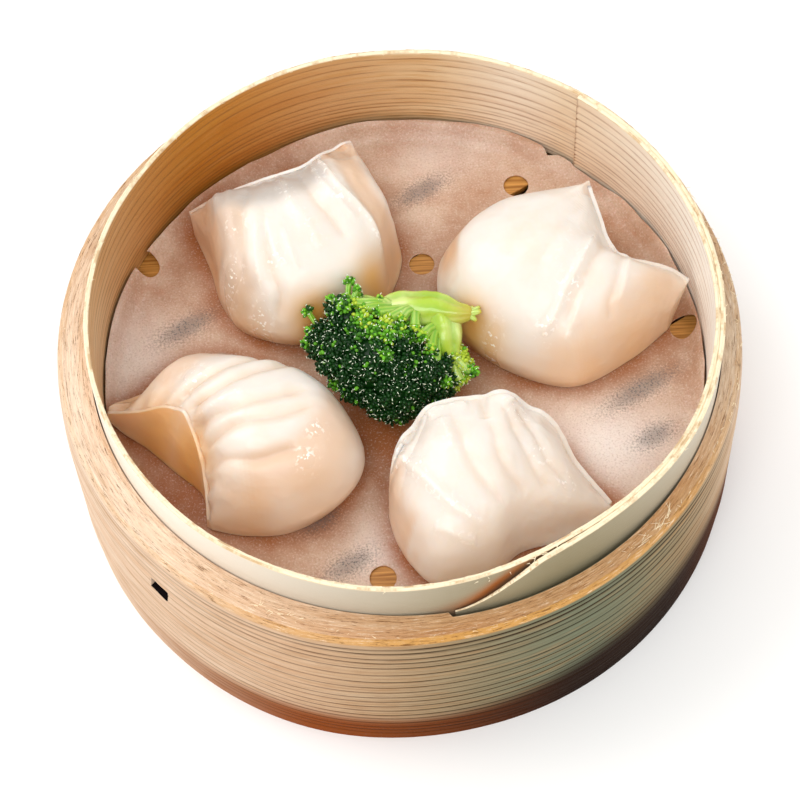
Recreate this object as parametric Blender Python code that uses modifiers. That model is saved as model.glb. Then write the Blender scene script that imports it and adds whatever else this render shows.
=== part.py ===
"""A round bamboo steamer basket with a paper liner, four pleated shrimp dumplings and a broccoli floret.

The origin is the centre of the foot, on the table. +Z is up, and -Y faces the viewer.
"""
import math

import bmesh
import bpy
from mathutils import Vector

MM = 0.001
GAP = 0.3 * MM                  # between pieces that touch

# The outer hoop: a thick bent band, 160 mm across, with a slight belly, a worn top edge and a bulge near the front.
OUTER_PROFILE = ((79.6, 0), (80.2, 10), (80.3, 40), (79.9, 47), (79.3, 52))      # radius and height
OUTER_RADIUS = 80 * MM
LEDGE_HEIGHT = 52 * MM          # its top, on which the next basket or the lid stands
BULGE_ANGLE = -108.0            # degrees
BULGE_WIDTH = 32.0              # degrees to either side
BULGE_DEPTH = 0.8 * MM
HOOP_SIDES = 96

# The rim: one thin strip wound round the inside one turn and a bit, standing above the ledge.
RIM_HEIGHT = 64 * MM
RIM_CENTRE = Vector((1.1 * MM, -0.5 * MM, 0))
STRIP_THICKNESS = 1.1 * MM
STRIP_RADIUS = 71.2 * MM        # inner face of the first layer
STRIP_START = 51.4              # degrees: the butt seam on the inner wall, at the back right
STRIP_TURN = 495.0              # degrees, clockwise seen from above
LAP_LENGTH = 17.0               # degrees over which the outer end is cut down to the ledge
STRIP_STEP = 4.5                # degrees

# The mortise in the outer wall, at the front left.
SLOT_ANGLE = -135.2
SLOT_HEIGHT = 37.2 * MM
SLOT_SIZE = Vector((8, 4.9, 5.6)) * MM      # depth across the wall, width, height
SLOT_LEAN = -9.0                            # degrees

# The floor: slats on a lower hoop and two battens.
SLAT_TOP = 34 * MM
SLAT_THICKNESS = 2 * MM
SLAT_WIDTH = 10.2 * MM
SLAT_PITCH = 12.6 * MM
SLAT_COUNT = 12
SLAT_FIRST = -67.2 * MM         # offset of the first slat's middle line
SLAT_ANGLE = 30.0               # degrees
FLOOR_RADIUS = 72 * MM
LOWER_HOOP_WALL = 2.6 * MM
LOWER_HOOP_FOOT = 3 * MM
BATTEN_SIZE = Vector((0, 10, 5.5)) * MM
BATTEN_OFFSETS = (-30 * MM, 30 * MM)

# The liner: a paper disc, curled where it meets the wall, with punched holes.
PAPER_RADIUS = 70.4 * MM
PAPER_THICKNESS = 0.4 * MM
PAPER_FLAT = 66 * MM            # the disc is flat out to here
PAPER_CURL = 3.2 * MM
PAPER_CLEAR = 0.25 * MM         # more room for the food where the liner curls
PAPER_HOLE = 3.1 * MM           # radius
PAPER_HOLES = ((31, 51), (6.5, 29.2), (-6.4, -55.2), (-60.6, 32.0), (66.0, 7.0), (-38, -10), (30, -30), (-20, 30))
PAPER_TOP = SLAT_TOP + GAP + PAPER_THICKNESS
FOOD_BASE = PAPER_TOP + GAP

# Dumplings. The seam is the pinched edge of the wrapper, from tip to tip, as (x, y, height above the liner).
# Belly and back are its feet on the liner, from the first tip to the second. Crown is the height of the belly's
# top, swell how far its side stands past the foot, as a part of its width, and side the height of that, as a part
# of the crown. The last three run from tip to tip.
DUMPLINGS = {
    "dumpling_1": {
        "seam": ((-49.5, 42.5, 7.5), (-44, 43.2, 11), (-37.5, 43.5, 15), (-28.5, 43.5, 19.5), (-21, 45, 21),
                 (-14, 51.5, 19.5), (-9.3, 56, 15)),
        "belly": ((-49, 41), (-45, 30), (-42.2, 19.5), (-36, 11.2), (-22, 7.6), (-6, 14), (1, 30), (-1, 43),
                  (-8.4, 56)),
        "back": ((-49.2, 42.8), (-43, 49), (-30, 53), (-18, 57), (-9.2, 57.6)),
        "crown": (7.5, 23, 26, 25, 15), "swell": (0, 0.02, 0.05, -0.02, 0), "side": (0.3, 0.3, 0.32, 0.16, 0.2),
        "pleats": 7,
    },
    "dumpling_2": {
        "seam": ((47, 34.5, 21.5), (49.3, 26.5, 18.5), (51, 21, 17), (54.5, 17.8, 15.5), (59.5, 17, 14),
                 (65, 15.8, 12.5), (69.4, 13.6, 10.5)),
        "belly": ((46.5, 37.5), (34, 36.5), (21, 32.8), (12.6, 23.5), (13.2, 10), (24, -1.8), (40, -7.6), (56, 0),
                  (68.6, 12)),
        "back": ((48, 37), (52, 31), (55, 25), (61, 20.5), (69.2, 14.6)),
        "crown": (21.5, 26, 27.5, 22, 10.5), "swell": (0, 0.04, 0.04, 0.03, 0), "side": (0.3, 0.32, 0.34, 0.3, 0.2),
        "pleats": 4,
    },
    "dumpling_3": {
        "seam": ((-45, -42, 3.4), (-45.2, -35.5, 10), (-46.5, -28.5, 15.5), (-49.5, -20.5, 18.5), (-54, -16.7, 16),
                 (-61, -15, 11.5), (-68.6, -12.6, 7.5)),
        "belly": ((-44.4, -43), (-36.5, -43), (-26, -42), (-15.5, -35.5), (-12.6, -25), (-18.5, -9.5), (-30, 1),
                  (-44, 6.6), (-57, 0), (-68.2, -10)),
        "back": ((-45.8, -42.4), (-47.2, -32), (-54, -25), (-61, -18), (-68.4, -13.4)),
        "crown": (3.4, 22, 26, 19.5, 7.5), "swell": (0, 0.07, 0.06, -0.18, 0), "side": (0.3, 0.34, 0.32, 0.1, 0.2),
        "pleats": 6,
    },
    "dumpling_4": {
        "seam": ((-2, -30, 16.5), (3, -25.8, 20), (9, -23, 22), (15.5, -22.4, 22.6), (21.5, -22.2, 23.4),
                 (28, -23, 20.5), (34.5, -25.3, 13.5), (39, -31.5, 6.5), (46.5, -40.1, 3.2)),
        "belly": ((-2.2, -32.6), (-4.4, -40), (-1.2, -50), (6, -57.6), (16.5, -55.4), (24.5, -48.2), (32.5, -45.2),
                  (40, -43.6), (45.8, -41.6)),
        "back": ((-1, -28.4), (6, -19), (19, -16), (31, -17.5), (36.2, -22.5), (40, -31), (46.9, -39.2)),
        "crown": (16.5, 25, 26, 17, 3.2), "swell": (0, 0.06, 0.02, -0.06, 0), "side": (0.3, 0.3, 0.3, 0.16, 0.2),
        "pleats": 6,
    },
}
DUMPLING_COLUMNS = 27           # sections from tip to tip
DUMPLING_ROWS = 7               # points down each side
SEAM_THICKNESS = 1.6 * MM
SEAM_LIP = 2.2 * MM             # how far the pinched edge stands off the body
PLEAT_DEPTH = 0.7 * MM

# The broccoli: lobes as (x, y, height of the centre, radius), and a cut stalk that leans on a dumpling.
FLORET_LOBES = ((-6.5, -4, 12.2, 11.8), (-16, 0, 13, 5.6), (-12, 3.5, 17.5, 5.4), (-4.5, 3.5, 17, 7.4),
                (-12.5, -5, 13, 7), (-1.5, -11, 9.4, 8.4), (5.5, -8.5, 9.8, 7.4))
SIDE_LOBE = (11.5, -5, 7.4, 5.8)
STALK_FROM = (-4, 0.5, 14.5)
STALK_TO = (17.2, 2.3, 18.6)
STALK_RADII = (6.0 * MM, 3.4 * MM)

# Colours as linear RGB.
STRAW = (0.78, 0.55, 0.30)
PALE_WOOD = (0.86, 0.68, 0.43)
SLAT_WOOD = (0.50, 0.24, 0.07)
PAPER_PINK = (0.72, 0.52, 0.40)
WRAPPER_CREAM = (0.92, 0.82, 0.70)
BROCCOLI_GREEN = (0.05, 0.16, 0.03)


def collection(name):
    made = bpy.data.collections.new(name)
    bpy.context.scene.collection.children.link(made)
    return made


def finish(name, colour, roughness, metallic=0.0):
    """The sub-part's own material."""
    material = bpy.data.materials.new(name)
    material.use_nodes = True
    shader = material.node_tree.nodes["Principled BSDF"]
    shader.inputs["Base Color"].default_value = (*colour, 1)
    shader.inputs["Roughness"].default_value = roughness
    shader.inputs["Metallic"].default_value = metallic
    return material


def add(name, bm, into, material=None):
    """Makes an object from a bmesh, with its faces pointing out."""
    bmesh.ops.recalc_face_normals(bm, faces=bm.faces)
    mesh = bpy.data.meshes.new(name)
    bm.to_mesh(mesh)
    bm.free()
    made = bpy.data.objects.new(name, mesh)
    into.objects.link(made)
    if material:
        mesh.materials.append(material)
        mesh.shade_smooth()
        mesh.set_sharp_from_angle(angle=math.radians(40))
    return made


def as_cutter(made):
    made.hide_render = True
    made.display_type = "WIRE"
    return made


def boolean(target, tool, operation):
    cut = target.modifiers.new(tool.name, "BOOLEAN")
    cut.object = tool
    cut.operation = operation
    cut.solver = "EXACT"


def through(points, t):
    """The point at t, from 0 to 1, on a smooth curve through points that are evenly spaced in t."""
    last = len(points) - 1
    place = min(max(t, 0), 1) * last
    i = min(int(place), last - 1)
    f = place - i
    p0, p1, p2, p3 = (Vector(points[min(max(k, 0), last)]) for k in (i - 1, i, i + 1, i + 2))
    return 0.5 * (2 * p1 + (p2 - p0) * f + (2 * p0 - 5 * p1 + 4 * p2 - p3) * f ** 2
                  + (3 * p1 - p0 - 3 * p2 + p3) * f ** 3)


def level(values, t):
    """The same for single values."""
    return through([(v, 0) for v in values], t).x


def ease(t):
    t = min(max(t, 0), 1)
    return t * t * (3 - 2 * t)


# The wound strip ------------------------------------------------------------------------------------------------

def strip_radius(turned):
    """Inner face of the strip after so many degrees: the first layer, the climb over it, the second layer."""
    doubled = STRIP_TURN - 360
    climb = ease((turned - doubled) / (360 - doubled))
    return STRIP_RADIUS + climb * (STRIP_THICKNESS + GAP)


def strip_top(turned):
    """Upper edge: level, then cut down in a slant at the outer end."""
    left = (STRIP_TURN - turned) / LAP_LENGTH
    if left >= 1:
        return RIM_HEIGHT
    foot = LEDGE_HEIGHT + 0.6 * MM
    return foot + (RIM_HEIGHT - foot) * (0.35 * left + 0.65 * left ** 2)


def on_circle(degrees, radius, height):
    a = math.radians(degrees)
    return RIM_CENTRE + Vector((radius * math.cos(a), radius * math.sin(a), height))


def rim_strip(into):
    """A sheet one face tall that winds clockwise, made solid outwards."""
    steps = int(STRIP_TURN / STRIP_STEP)
    bm = bmesh.new()
    rows = []
    for i in range(steps + 1):
        turned = i * STRIP_STEP
        degrees = STRIP_START - turned
        radius = strip_radius(turned)
        rows.append([bm.verts.new(on_circle(degrees, radius, z)) for z in (SLAT_TOP + GAP, strip_top(turned))])
    for a, b in zip(rows, rows[1:]):
        bm.faces.new((a[0], a[1], b[1], b[0]))
    made = add("inner_hoop", bm, into, finish("inner_hoop", PALE_WOOD, 0.55))
    # The faces of the open sheet point outwards, so the wall grows on that side.
    if made.data.polygons[0].normal.dot(made.data.vertices[0].co) < 0:
        made.data.flip_normals()
    wall = made.modifiers.new("wall", "SOLIDIFY")
    wall.thickness = STRIP_THICKNESS
    wall.offset = 1


def hoop_radius(degrees, radius):
    """Outer radius of the outer hoop, with its bulge."""
    off = abs((degrees - BULGE_ANGLE + 180) % 360 - 180) / BULGE_WIDTH
    return radius * MM + BULGE_DEPTH * ease(1 - off)


def hoop_core(cutters):
    """The space inside the outer hoop: the outline of the wound strip and a gap, from below the foot to above."""
    bm = bmesh.new()
    outline = []
    for i in range(HOOP_SIDES):
        back = i * 360 / HOOP_SIDES
        radius = strip_radius(STRIP_TURN - back) + STRIP_THICKNESS + GAP
        outline.append(bm.verts.new(on_circle(STRIP_START - STRIP_TURN + back, radius, -5 * MM)))
    face = bm.faces.new(outline)
    grown = bmesh.ops.extrude_face_region(bm, geom=[face])["geom"]
    tops = [g for g in grown if isinstance(g, bmesh.types.BMVert)]
    bmesh.ops.translate(bm, verts=tops, vec=(0, 0, LEDGE_HEIGHT + 10 * MM))
    return as_cutter(add("cut_core", bm, cutters))


def slot_cutter(cutters):
    bm = bmesh.new()
    bmesh.ops.create_cube(bm, size=1)
    bmesh.ops.scale(bm, vec=SLOT_SIZE, verts=bm.verts)
    made = as_cutter(add("cut_slot", bm, cutters))
    a = math.radians(SLOT_ANGLE)
    made.rotation_euler = (math.radians(SLOT_LEAN), 0, a)
    made.location = (OUTER_RADIUS * math.cos(a), OUTER_RADIUS * math.sin(a), SLOT_HEIGHT)
    return made


def outer_hoop(into, cutters):
    bm = bmesh.new()
    rings = []
    for radius, height in OUTER_PROFILE:
        ring = []
        for i in range(HOOP_SIDES):
            degrees = i * 360 / HOOP_SIDES
            a = math.radians(degrees)
            wide = hoop_radius(degrees, radius)
            ring.append(bm.verts.new((wide * math.cos(a), wide * math.sin(a), height * MM)))
        rings.append(ring)
    for low, high in zip(rings, rings[1:]):
        for i in range(HOOP_SIDES):
            j = (i + 1) % HOOP_SIDES
            bm.faces.new((low[i], low[j], high[j], high[i]))
    bm.faces.new(rings[-1])
    bm.faces.new(list(reversed(rings[0])))
    made = add("outer_hoop", bm, into, finish("outer_hoop", STRAW, 0.6))
    boolean(made, hoop_core(cutters), "DIFFERENCE")
    boolean(made, slot_cutter(cutters), "DIFFERENCE")


# The floor ------------------------------------------------------------------------------------------------------

def disc(name, radius, low, high, into, material=None, sides=HOOP_SIDES):
    bm = bmesh.new()
    bmesh.ops.create_cone(bm, cap_ends=True, segments=sides, radius1=radius, radius2=radius, depth=high - low)
    bmesh.ops.translate(bm, verts=bm.verts, vec=RIM_CENTRE + Vector((0, 0, (low + high) / 2)))
    return add(name, bm, into, material)


def lower_hoop(into, cutters):
    top = SLAT_TOP - SLAT_THICKNESS - GAP
    made = disc("lower_hoop", FLOOR_RADIUS, LOWER_HOOP_FOOT, top, into, finish("lower_hoop", STRAW, 0.6))
    hollow = disc("cut_lower", FLOOR_RADIUS - LOWER_HOOP_WALL, 0, top + 5 * MM, cutters)
    boolean(made, as_cutter(hollow), "DIFFERENCE")


def bar(name, size, offset, degrees, top, trim, into, material):
    """A bar along the given direction, its middle line offset sideways, with its ends trimmed to a round."""
    bm = bmesh.new()
    bmesh.ops.create_cube(bm, size=1)
    bmesh.ops.scale(bm, vec=size, verts=bm.verts)
    made = add(name, bm, into, material)
    a = math.radians(degrees)
    made.rotation_euler = (0, 0, a)
    made.location = RIM_CENTRE + Vector((-math.sin(a) * offset, math.cos(a) * offset, top - size.z / 2))
    boolean(made, trim, "INTERSECT")


def floor(into, cutters):
    wood = (SLAT_WOOD, 0.6)
    size = Vector((2 * FLOOR_RADIUS + 5 * MM, SLAT_WIDTH, SLAT_THICKNESS))
    trim = as_cutter(disc("trim_slats", FLOOR_RADIUS, 0, RIM_HEIGHT, cutters))
    for i in range(SLAT_COUNT):
        name = f"slat_{i + 1:02d}"
        bar(name, size, SLAT_FIRST + i * SLAT_PITCH, SLAT_ANGLE, SLAT_TOP, trim, into, finish(name, *wood))
    size = Vector((2 * FLOOR_RADIUS + 5 * MM, BATTEN_SIZE.y, BATTEN_SIZE.z))
    trim = as_cutter(disc("trim_battens", FLOOR_RADIUS - LOWER_HOOP_WALL - GAP, 0, RIM_HEIGHT, cutters))
    for i, offset in enumerate(BATTEN_OFFSETS):
        name = f"batten_{i + 1}"
        top = SLAT_TOP - SLAT_THICKNESS - GAP
        bar(name, size, offset, SLAT_ANGLE + 90, top, trim, into, finish(name, *wood))


def paper_rise(x, y):
    """How far the curled edge of the liner stands above its flat middle."""
    place = Vector((x, y, 0)) - RIM_CENTRE
    a = math.atan2(place.y, place.x)
    part = max((place.length - PAPER_FLAT) / (PAPER_RADIUS - PAPER_FLAT), 0)
    wave = 1 + 0.25 * math.sin(5 * a) + 0.15 * math.cos(11 * a)
    return PAPER_CURL * wave * part ** 2


def paper_liner(into, cutters):
    """A flat sheet with a curled edge, made solid upwards, then punched."""
    bm = bmesh.new()
    sides = 64
    rows = []
    for radius in (PAPER_FLAT, (PAPER_FLAT + PAPER_RADIUS) / 2, PAPER_RADIUS):
        row = []
        for i in range(sides):
            place = on_circle(i * 360 / sides, radius, SLAT_TOP + GAP)
            place.z += paper_rise(place.x, place.y)
            row.append(bm.verts.new(place))
        rows.append(row)
    bm.faces.new(rows[0])
    for low, high in zip(rows, rows[1:]):
        for i in range(sides):
            j = (i + 1) % sides
            bm.faces.new((low[i], low[j], high[j], high[i]))
    made = add("paper_liner", bm, into, finish("paper_liner", PAPER_PINK, 0.7))
    if made.data.polygons[0].normal.z < 0:
        made.data.flip_normals()
    sheet = made.modifiers.new("sheet", "SOLIDIFY")
    sheet.thickness = PAPER_THICKNESS
    sheet.offset = 1
    for i, (x, y) in enumerate(PAPER_HOLES):
        bm = bmesh.new()
        bmesh.ops.create_cone(bm, cap_ends=True, segments=14, radius1=PAPER_HOLE, radius2=PAPER_HOLE,
                              depth=20 * MM)
        punch = as_cutter(add(f"cut_hole_{i + 1}", bm, cutters))
        punch.location = (x * MM, y * MM, SLAT_TOP)
        boolean(made, punch, "DIFFERENCE")


# The food -------------------------------------------------------------------------------------------------------

def belly_profile(seam_height, crown, swell, side):
    """The side of a dumpling in section, as (part of the width, height), from the seam's root to the foot."""
    middle = 0.46
    reach = 1 + swell
    low = side * crown
    bend = math.sqrt(0.5)
    return ((0, seam_height), (0.4 * middle, seam_height + 0.75 * (crown - seam_height)), (middle, crown),
            (middle + bend * (reach - middle), low + bend * (crown - low)), (reach, low), (1, 0))


def dumpling(name, form, into):
    """A loft from tip to tip. Each section runs up the back, over the pinched seam and down the belly."""
    bm = bmesh.new()
    sections = []
    for i in range(DUMPLING_COLUMNS):
        u = i / (DUMPLING_COLUMNS - 1)
        seam = through(form["seam"], u) * MM
        belly = through(form["belly"], u).to_3d() * MM
        back = through(form["back"], u).to_3d() * MM
        crown = max(level(form["crown"], u) * MM, seam.z)
        swell = level(form["swell"], u)
        side = level(form["side"], u)
        ground = Vector((seam.x, seam.y, 0))
        along = through(form["seam"], u + 0.02) - through(form["seam"], u - 0.02)
        across = Vector((along.y, -along.x, 0)).normalized()
        if across.dot(belly - back) < 0:
            across.negate()
        lip = min(SEAM_LIP, 0.35 * seam.z)
        root = seam.z - lip
        half = across * (SEAM_THICKNESS / 2)
        pleat = PLEAT_DEPTH * math.cos(2 * math.pi * form["pleats"] * u) * math.sin(math.pi * u)
        outline = belly_profile(root, max(crown, root), swell, side)
        front = []
        for k in range(DUMPLING_ROWS + 1):
            t = k / DUMPLING_ROWS
            s, z = through(outline, t)
            fade = math.sin(math.pi * min(t * 1.25, 1)) ** 0.7
            point = ground + half * (1 - t) + (belly - ground) * s
            point.z = max(z + pleat * fade, 0) if t < 1 else 0
            front.append(point)
        rear = []
        for k in range(DUMPLING_ROWS + 1):
            t = k / DUMPLING_ROWS
            rise = root * math.sin(math.pi / 2 * t)
            point = back + (ground - half - back) * (1 - math.cos(math.pi / 2 * t))
            point.z = rise
            rear.append(point)
        tip = [seam - half * 0.7, seam + half * 0.7]
        for point in (*rear, *front):
            rise = paper_rise(point.x, point.y)
            if rise > 0:
                point.z = max(point.z, 1.2 * rise + PAPER_CLEAR)
        sections.append([bm.verts.new(p + Vector((0, 0, FOOD_BASE))) for p in rear + tip + front])
    for a, b in zip(sections, sections[1:]):
        count = len(a)
        for k in range(count):
            bm.faces.new((a[k], a[(k + 1) % count], b[(k + 1) % count], b[k]))
    bm.faces.new(sections[0])
    bm.faces.new(list(reversed(sections[-1])))
    add(name, bm, into, finish(name, WRAPPER_CREAM, 0.3))


def ball(name, lobe, into, material=None):
    x, y, height, radius = (value * MM for value in lobe)
    bm = bmesh.new()
    bmesh.ops.create_uvsphere(bm, u_segments=12, v_segments=8, radius=radius)
    bmesh.ops.scale(bm, vec=(1, 1, 0.95), verts=bm.verts)
    bmesh.ops.translate(bm, verts=bm.verts, vec=(x, y, FOOD_BASE + height))
    return add(name, bm, into, material)


def broccoli(into, cutters):
    made = ball("broccoli", FLORET_LOBES[0], into, finish("broccoli", BROCCOLI_GREEN, 0.4))
    for i, lobe in enumerate((*FLORET_LOBES[1:], SIDE_LOBE)):
        boolean(made, as_cutter(ball(f"join_lobe_{i + 1}", lobe, cutters)), "UNION")
    low = Vector(STALK_FROM) * MM
    high = Vector(STALK_TO) * MM
    bm = bmesh.new()
    bmesh.ops.create_cone(bm, cap_ends=True, segments=12, radius1=STALK_RADII[0], radius2=STALK_RADII[1],
                          depth=(high - low).length)
    stalk = as_cutter(add("join_stalk", bm, cutters))
    stalk.location = (low + high) / 2 + Vector((0, 0, FOOD_BASE))
    stalk.rotation_euler = (high - low).to_track_quat("Z", "Y").to_euler()
    boolean(made, stalk, "UNION")


def main():
    for old in list(bpy.data.objects):
        bpy.data.objects.remove(old)
    basket = collection("steamer_basket")
    cutters = collection("cutters")
    outer_hoop(basket, cutters)
    rim_strip(basket)
    lower_hoop(basket, cutters)
    floor(basket, cutters)
    paper_liner(basket, cutters)
    for name, form in DUMPLINGS.items():
        dumpling(name, form, basket)
    broccoli(basket, cutters)


main()
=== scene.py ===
"""Looks for a round bamboo steamer basket with pleated shrimp dumplings and a broccoli floret on punched paper.

Shapes are worked out in millimetres, in the CAD's frame, and MM turns them into metres. Angles are in degrees from +X.
"""
import math

import bpy
import numpy as np
from mathutils import Matrix, Vector


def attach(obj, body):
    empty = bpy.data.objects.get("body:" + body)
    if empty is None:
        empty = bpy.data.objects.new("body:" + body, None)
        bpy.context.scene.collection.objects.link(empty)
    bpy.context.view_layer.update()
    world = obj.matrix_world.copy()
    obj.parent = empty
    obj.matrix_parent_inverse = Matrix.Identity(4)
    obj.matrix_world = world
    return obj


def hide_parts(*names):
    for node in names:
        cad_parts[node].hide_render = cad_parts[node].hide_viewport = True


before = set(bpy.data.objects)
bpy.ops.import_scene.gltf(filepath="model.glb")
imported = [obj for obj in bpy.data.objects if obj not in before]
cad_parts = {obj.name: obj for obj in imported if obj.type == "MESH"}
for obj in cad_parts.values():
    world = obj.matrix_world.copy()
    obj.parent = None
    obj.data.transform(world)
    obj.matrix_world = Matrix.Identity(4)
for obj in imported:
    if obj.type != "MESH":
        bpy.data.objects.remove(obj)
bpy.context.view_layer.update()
bpy.ops.object.select_all(action="DESELECT")

MM = 0.001
GAP = 0.3                       # left free between pieces
GOLDEN_ANGLE = 2.39996          # in radians

# The hoops, nearly as in the CAD.
OUTER_PROFILE = ((79.6, 0), (80.2, 10), (80.3, 40), (79.9, 47), (79.3, 52))        # radius, height
LEDGE_HEIGHT = 52
BULGE = (-108, 32, 0.8)         # azimuth, spread and depth of the outward bulge of the wall
RIM_HEIGHT = 64
RIM_CENTRE = np.array((1.1, -0.5))
STRIP_THICKNESS = 1.1
STRIP_RADIUS = 71.2
STRIP_START = 51.4              # the seam on the inner wall, from where the strip winds clockwise
STRIP_TURN = 495                # how many degrees it winds
LAP_LENGTH = 16                 # how many degrees the slanted end takes
RIM_BOW = (-62, 36, 2.1)        # azimuth, spread and depth of the inward bow of the strip's top at the front
RIM_TOP = RIM_HEIGHT - 0.05     # no point of the looks stands higher
SLOT_ANGLE = -135.2             # the mortise: its middle, its size in, along and up, and its lean
SLOT_RADIUS = 80
SLOT_HEIGHT = 37.2
SLOT_SIZE = (8, 5.4, 6.4)
SLOT_LEAN = -9

# The floor and its paper.
SLAT_TOP = 34
SLAT_ANGLE = 30
SLAT_PITCH = 12.6
SLAT_GAP_FIRST = -73.5          # the first gap's middle line, across the slats
LOWER_HOOP = (69.4, 72, 3, 31.7)        # inner radius, outer radius, foot, top
PAPER_FLAT = 66                 # the paper is flat up to here, and curls up by PAPER_CURL at PAPER_RADIUS
PAPER_RADIUS = 70.4
PAPER_CURL = 3.2
PAPER_EDGE = 70.9
PAPER_THICKNESS = 0.3
PAPER_HOLE = 3.1                # radius
# The grey over the gaps between slats is painted shade.
GREY_WIDTH = 3.2                # half width of the grey marks over the gaps between slats
PAPER_HOLES = ((31, 51), (6.5, 29.2), (-6.4, -55.2), (-60.6, 32.0), (68.0, 7.0), (-38, -10), (30, -30), (-20, 30))
FOOD_BASE = 35.0

# Dumplings, nearly as in the CAD: the pinched seam as (x, y, height), the feet of the belly and the back, and the
# section. Thin ends and skirts are thinner than the CAD's solids.
DUMPLINGS = {
    "dumpling_1": {
        "seam": ((-49.5, 42.5, 7.5), (-44, 43.2, 11), (-37.5, 43.5, 15), (-28.5, 43.5, 19.5), (-21, 45, 21),
                 (-14, 51.5, 19.5), (-9.3, 56, 15)),
        "belly": ((-49, 41), (-45, 30), (-42.2, 19.5), (-36, 11.2), (-22, 7.6), (-6, 14), (1.6, 29), (-1.6, 40.5),
                  (-8.8, 55)),
        "back": ((-49.2, 42.8), (-43, 49), (-30, 53), (-18, 57), (-9.2, 57.6)),
        "crown": (7.5, 23, 26, 25, 15), "swell": (0, 0.02, 0.05, -0.02, 0), "side": (0.3, 0.3, 0.32, 0.16, 0.2),
    },
    "dumpling_2": {
        "seam": ((47, 34.5, 21.5), (49.3, 26.5, 18.5), (51, 21, 17), (54.5, 17.8, 15.5), (59.5, 17, 14),
                 (65, 15.8, 12.5), (69.4, 13.6, 10.5)),
        "belly": ((46.5, 37.5), (34, 36.5), (21, 32.8), (12.6, 23.5), (13.2, 10), (24, -1.8), (40, -8), (54, -1.8),
                  (64.2, 6.4)),
        "back": ((46.6, 36.4), (48.4, 29), (50.6, 22.5), (58.5, 18.6), (65.2, 8)),
        "crown": (21.5, 26, 27.5, 22, 10.5), "swell": (0, 0.04, 0.04, 0.03, 0), "side": (0.3, 0.32, 0.34, 0.3, 0.2),
    },
    "dumpling_3": {
        "seam": ((-45.6, -39.8, 3.2), (-45.6, -34.8, 9.6), (-46.5, -28.5, 15.5), (-49.5, -20.5, 18.5), (-54, -16.7, 16),
                 (-61, -15, 11.5), (-68.6, -12.6, 7.5)),
        "belly": ((-45, -41), (-37, -43), (-26.5, -42.6), (-15.5, -35.8), (-12.6, -25), (-18.5, -9.5), (-30, 1),
                  (-44, 6.6), (-57, 0), (-68.2, -10)),
        "back": ((-46.2, -40), (-47.2, -32), (-54, -25), (-61, -18), (-68.4, -13.4)),
        "crown": (3.4, 22, 26, 17.5, 7.5), "swell": (0, 0.07, 0.06, -0.28, 0), "side": (0.3, 0.34, 0.32, 0.1, 0.2),
    },
    "dumpling_4": {
        "seam": ((-2.6, -31.4, 10), (3, -25.8, 20), (9, -23, 22), (15.5, -22.4, 22.6), (21.5, -22.2, 23.4),
                 (28, -23, 20.5), (34.5, -25.3, 13.5), (39, -31.5, 6.5), (46.5, -40.1, 1.5)),
        "belly": ((-3.2, -34), (-4.2, -41), (-0.6, -51), (7, -59), (17.5, -57), (25, -51), (33, -48.8),
                  (41, -45.2), (46.8, -41.2)),
        "back": ((-1.2, -29), (6.5, -19), (19, -17), (30, -19.5), (35.4, -24.5), (39.8, -32), (46.7, -40)),
        "crown": (10, 25, 26, 17, 1.5), "swell": (0, 0.06, 0.02, -0.06, 0), "side": (0.3, 0.3, 0.3, 0.16, 0.2),
    },
}
# Thickness of the pinched seam, and how far its lip stands up.
SEAMS = {"dumpling_1": (0.8, 0.3), "dumpling_2": (0.9, 0.1), "dumpling_3": (0.8, 0.3), "dumpling_4": (1.1, 0.1)}

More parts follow.
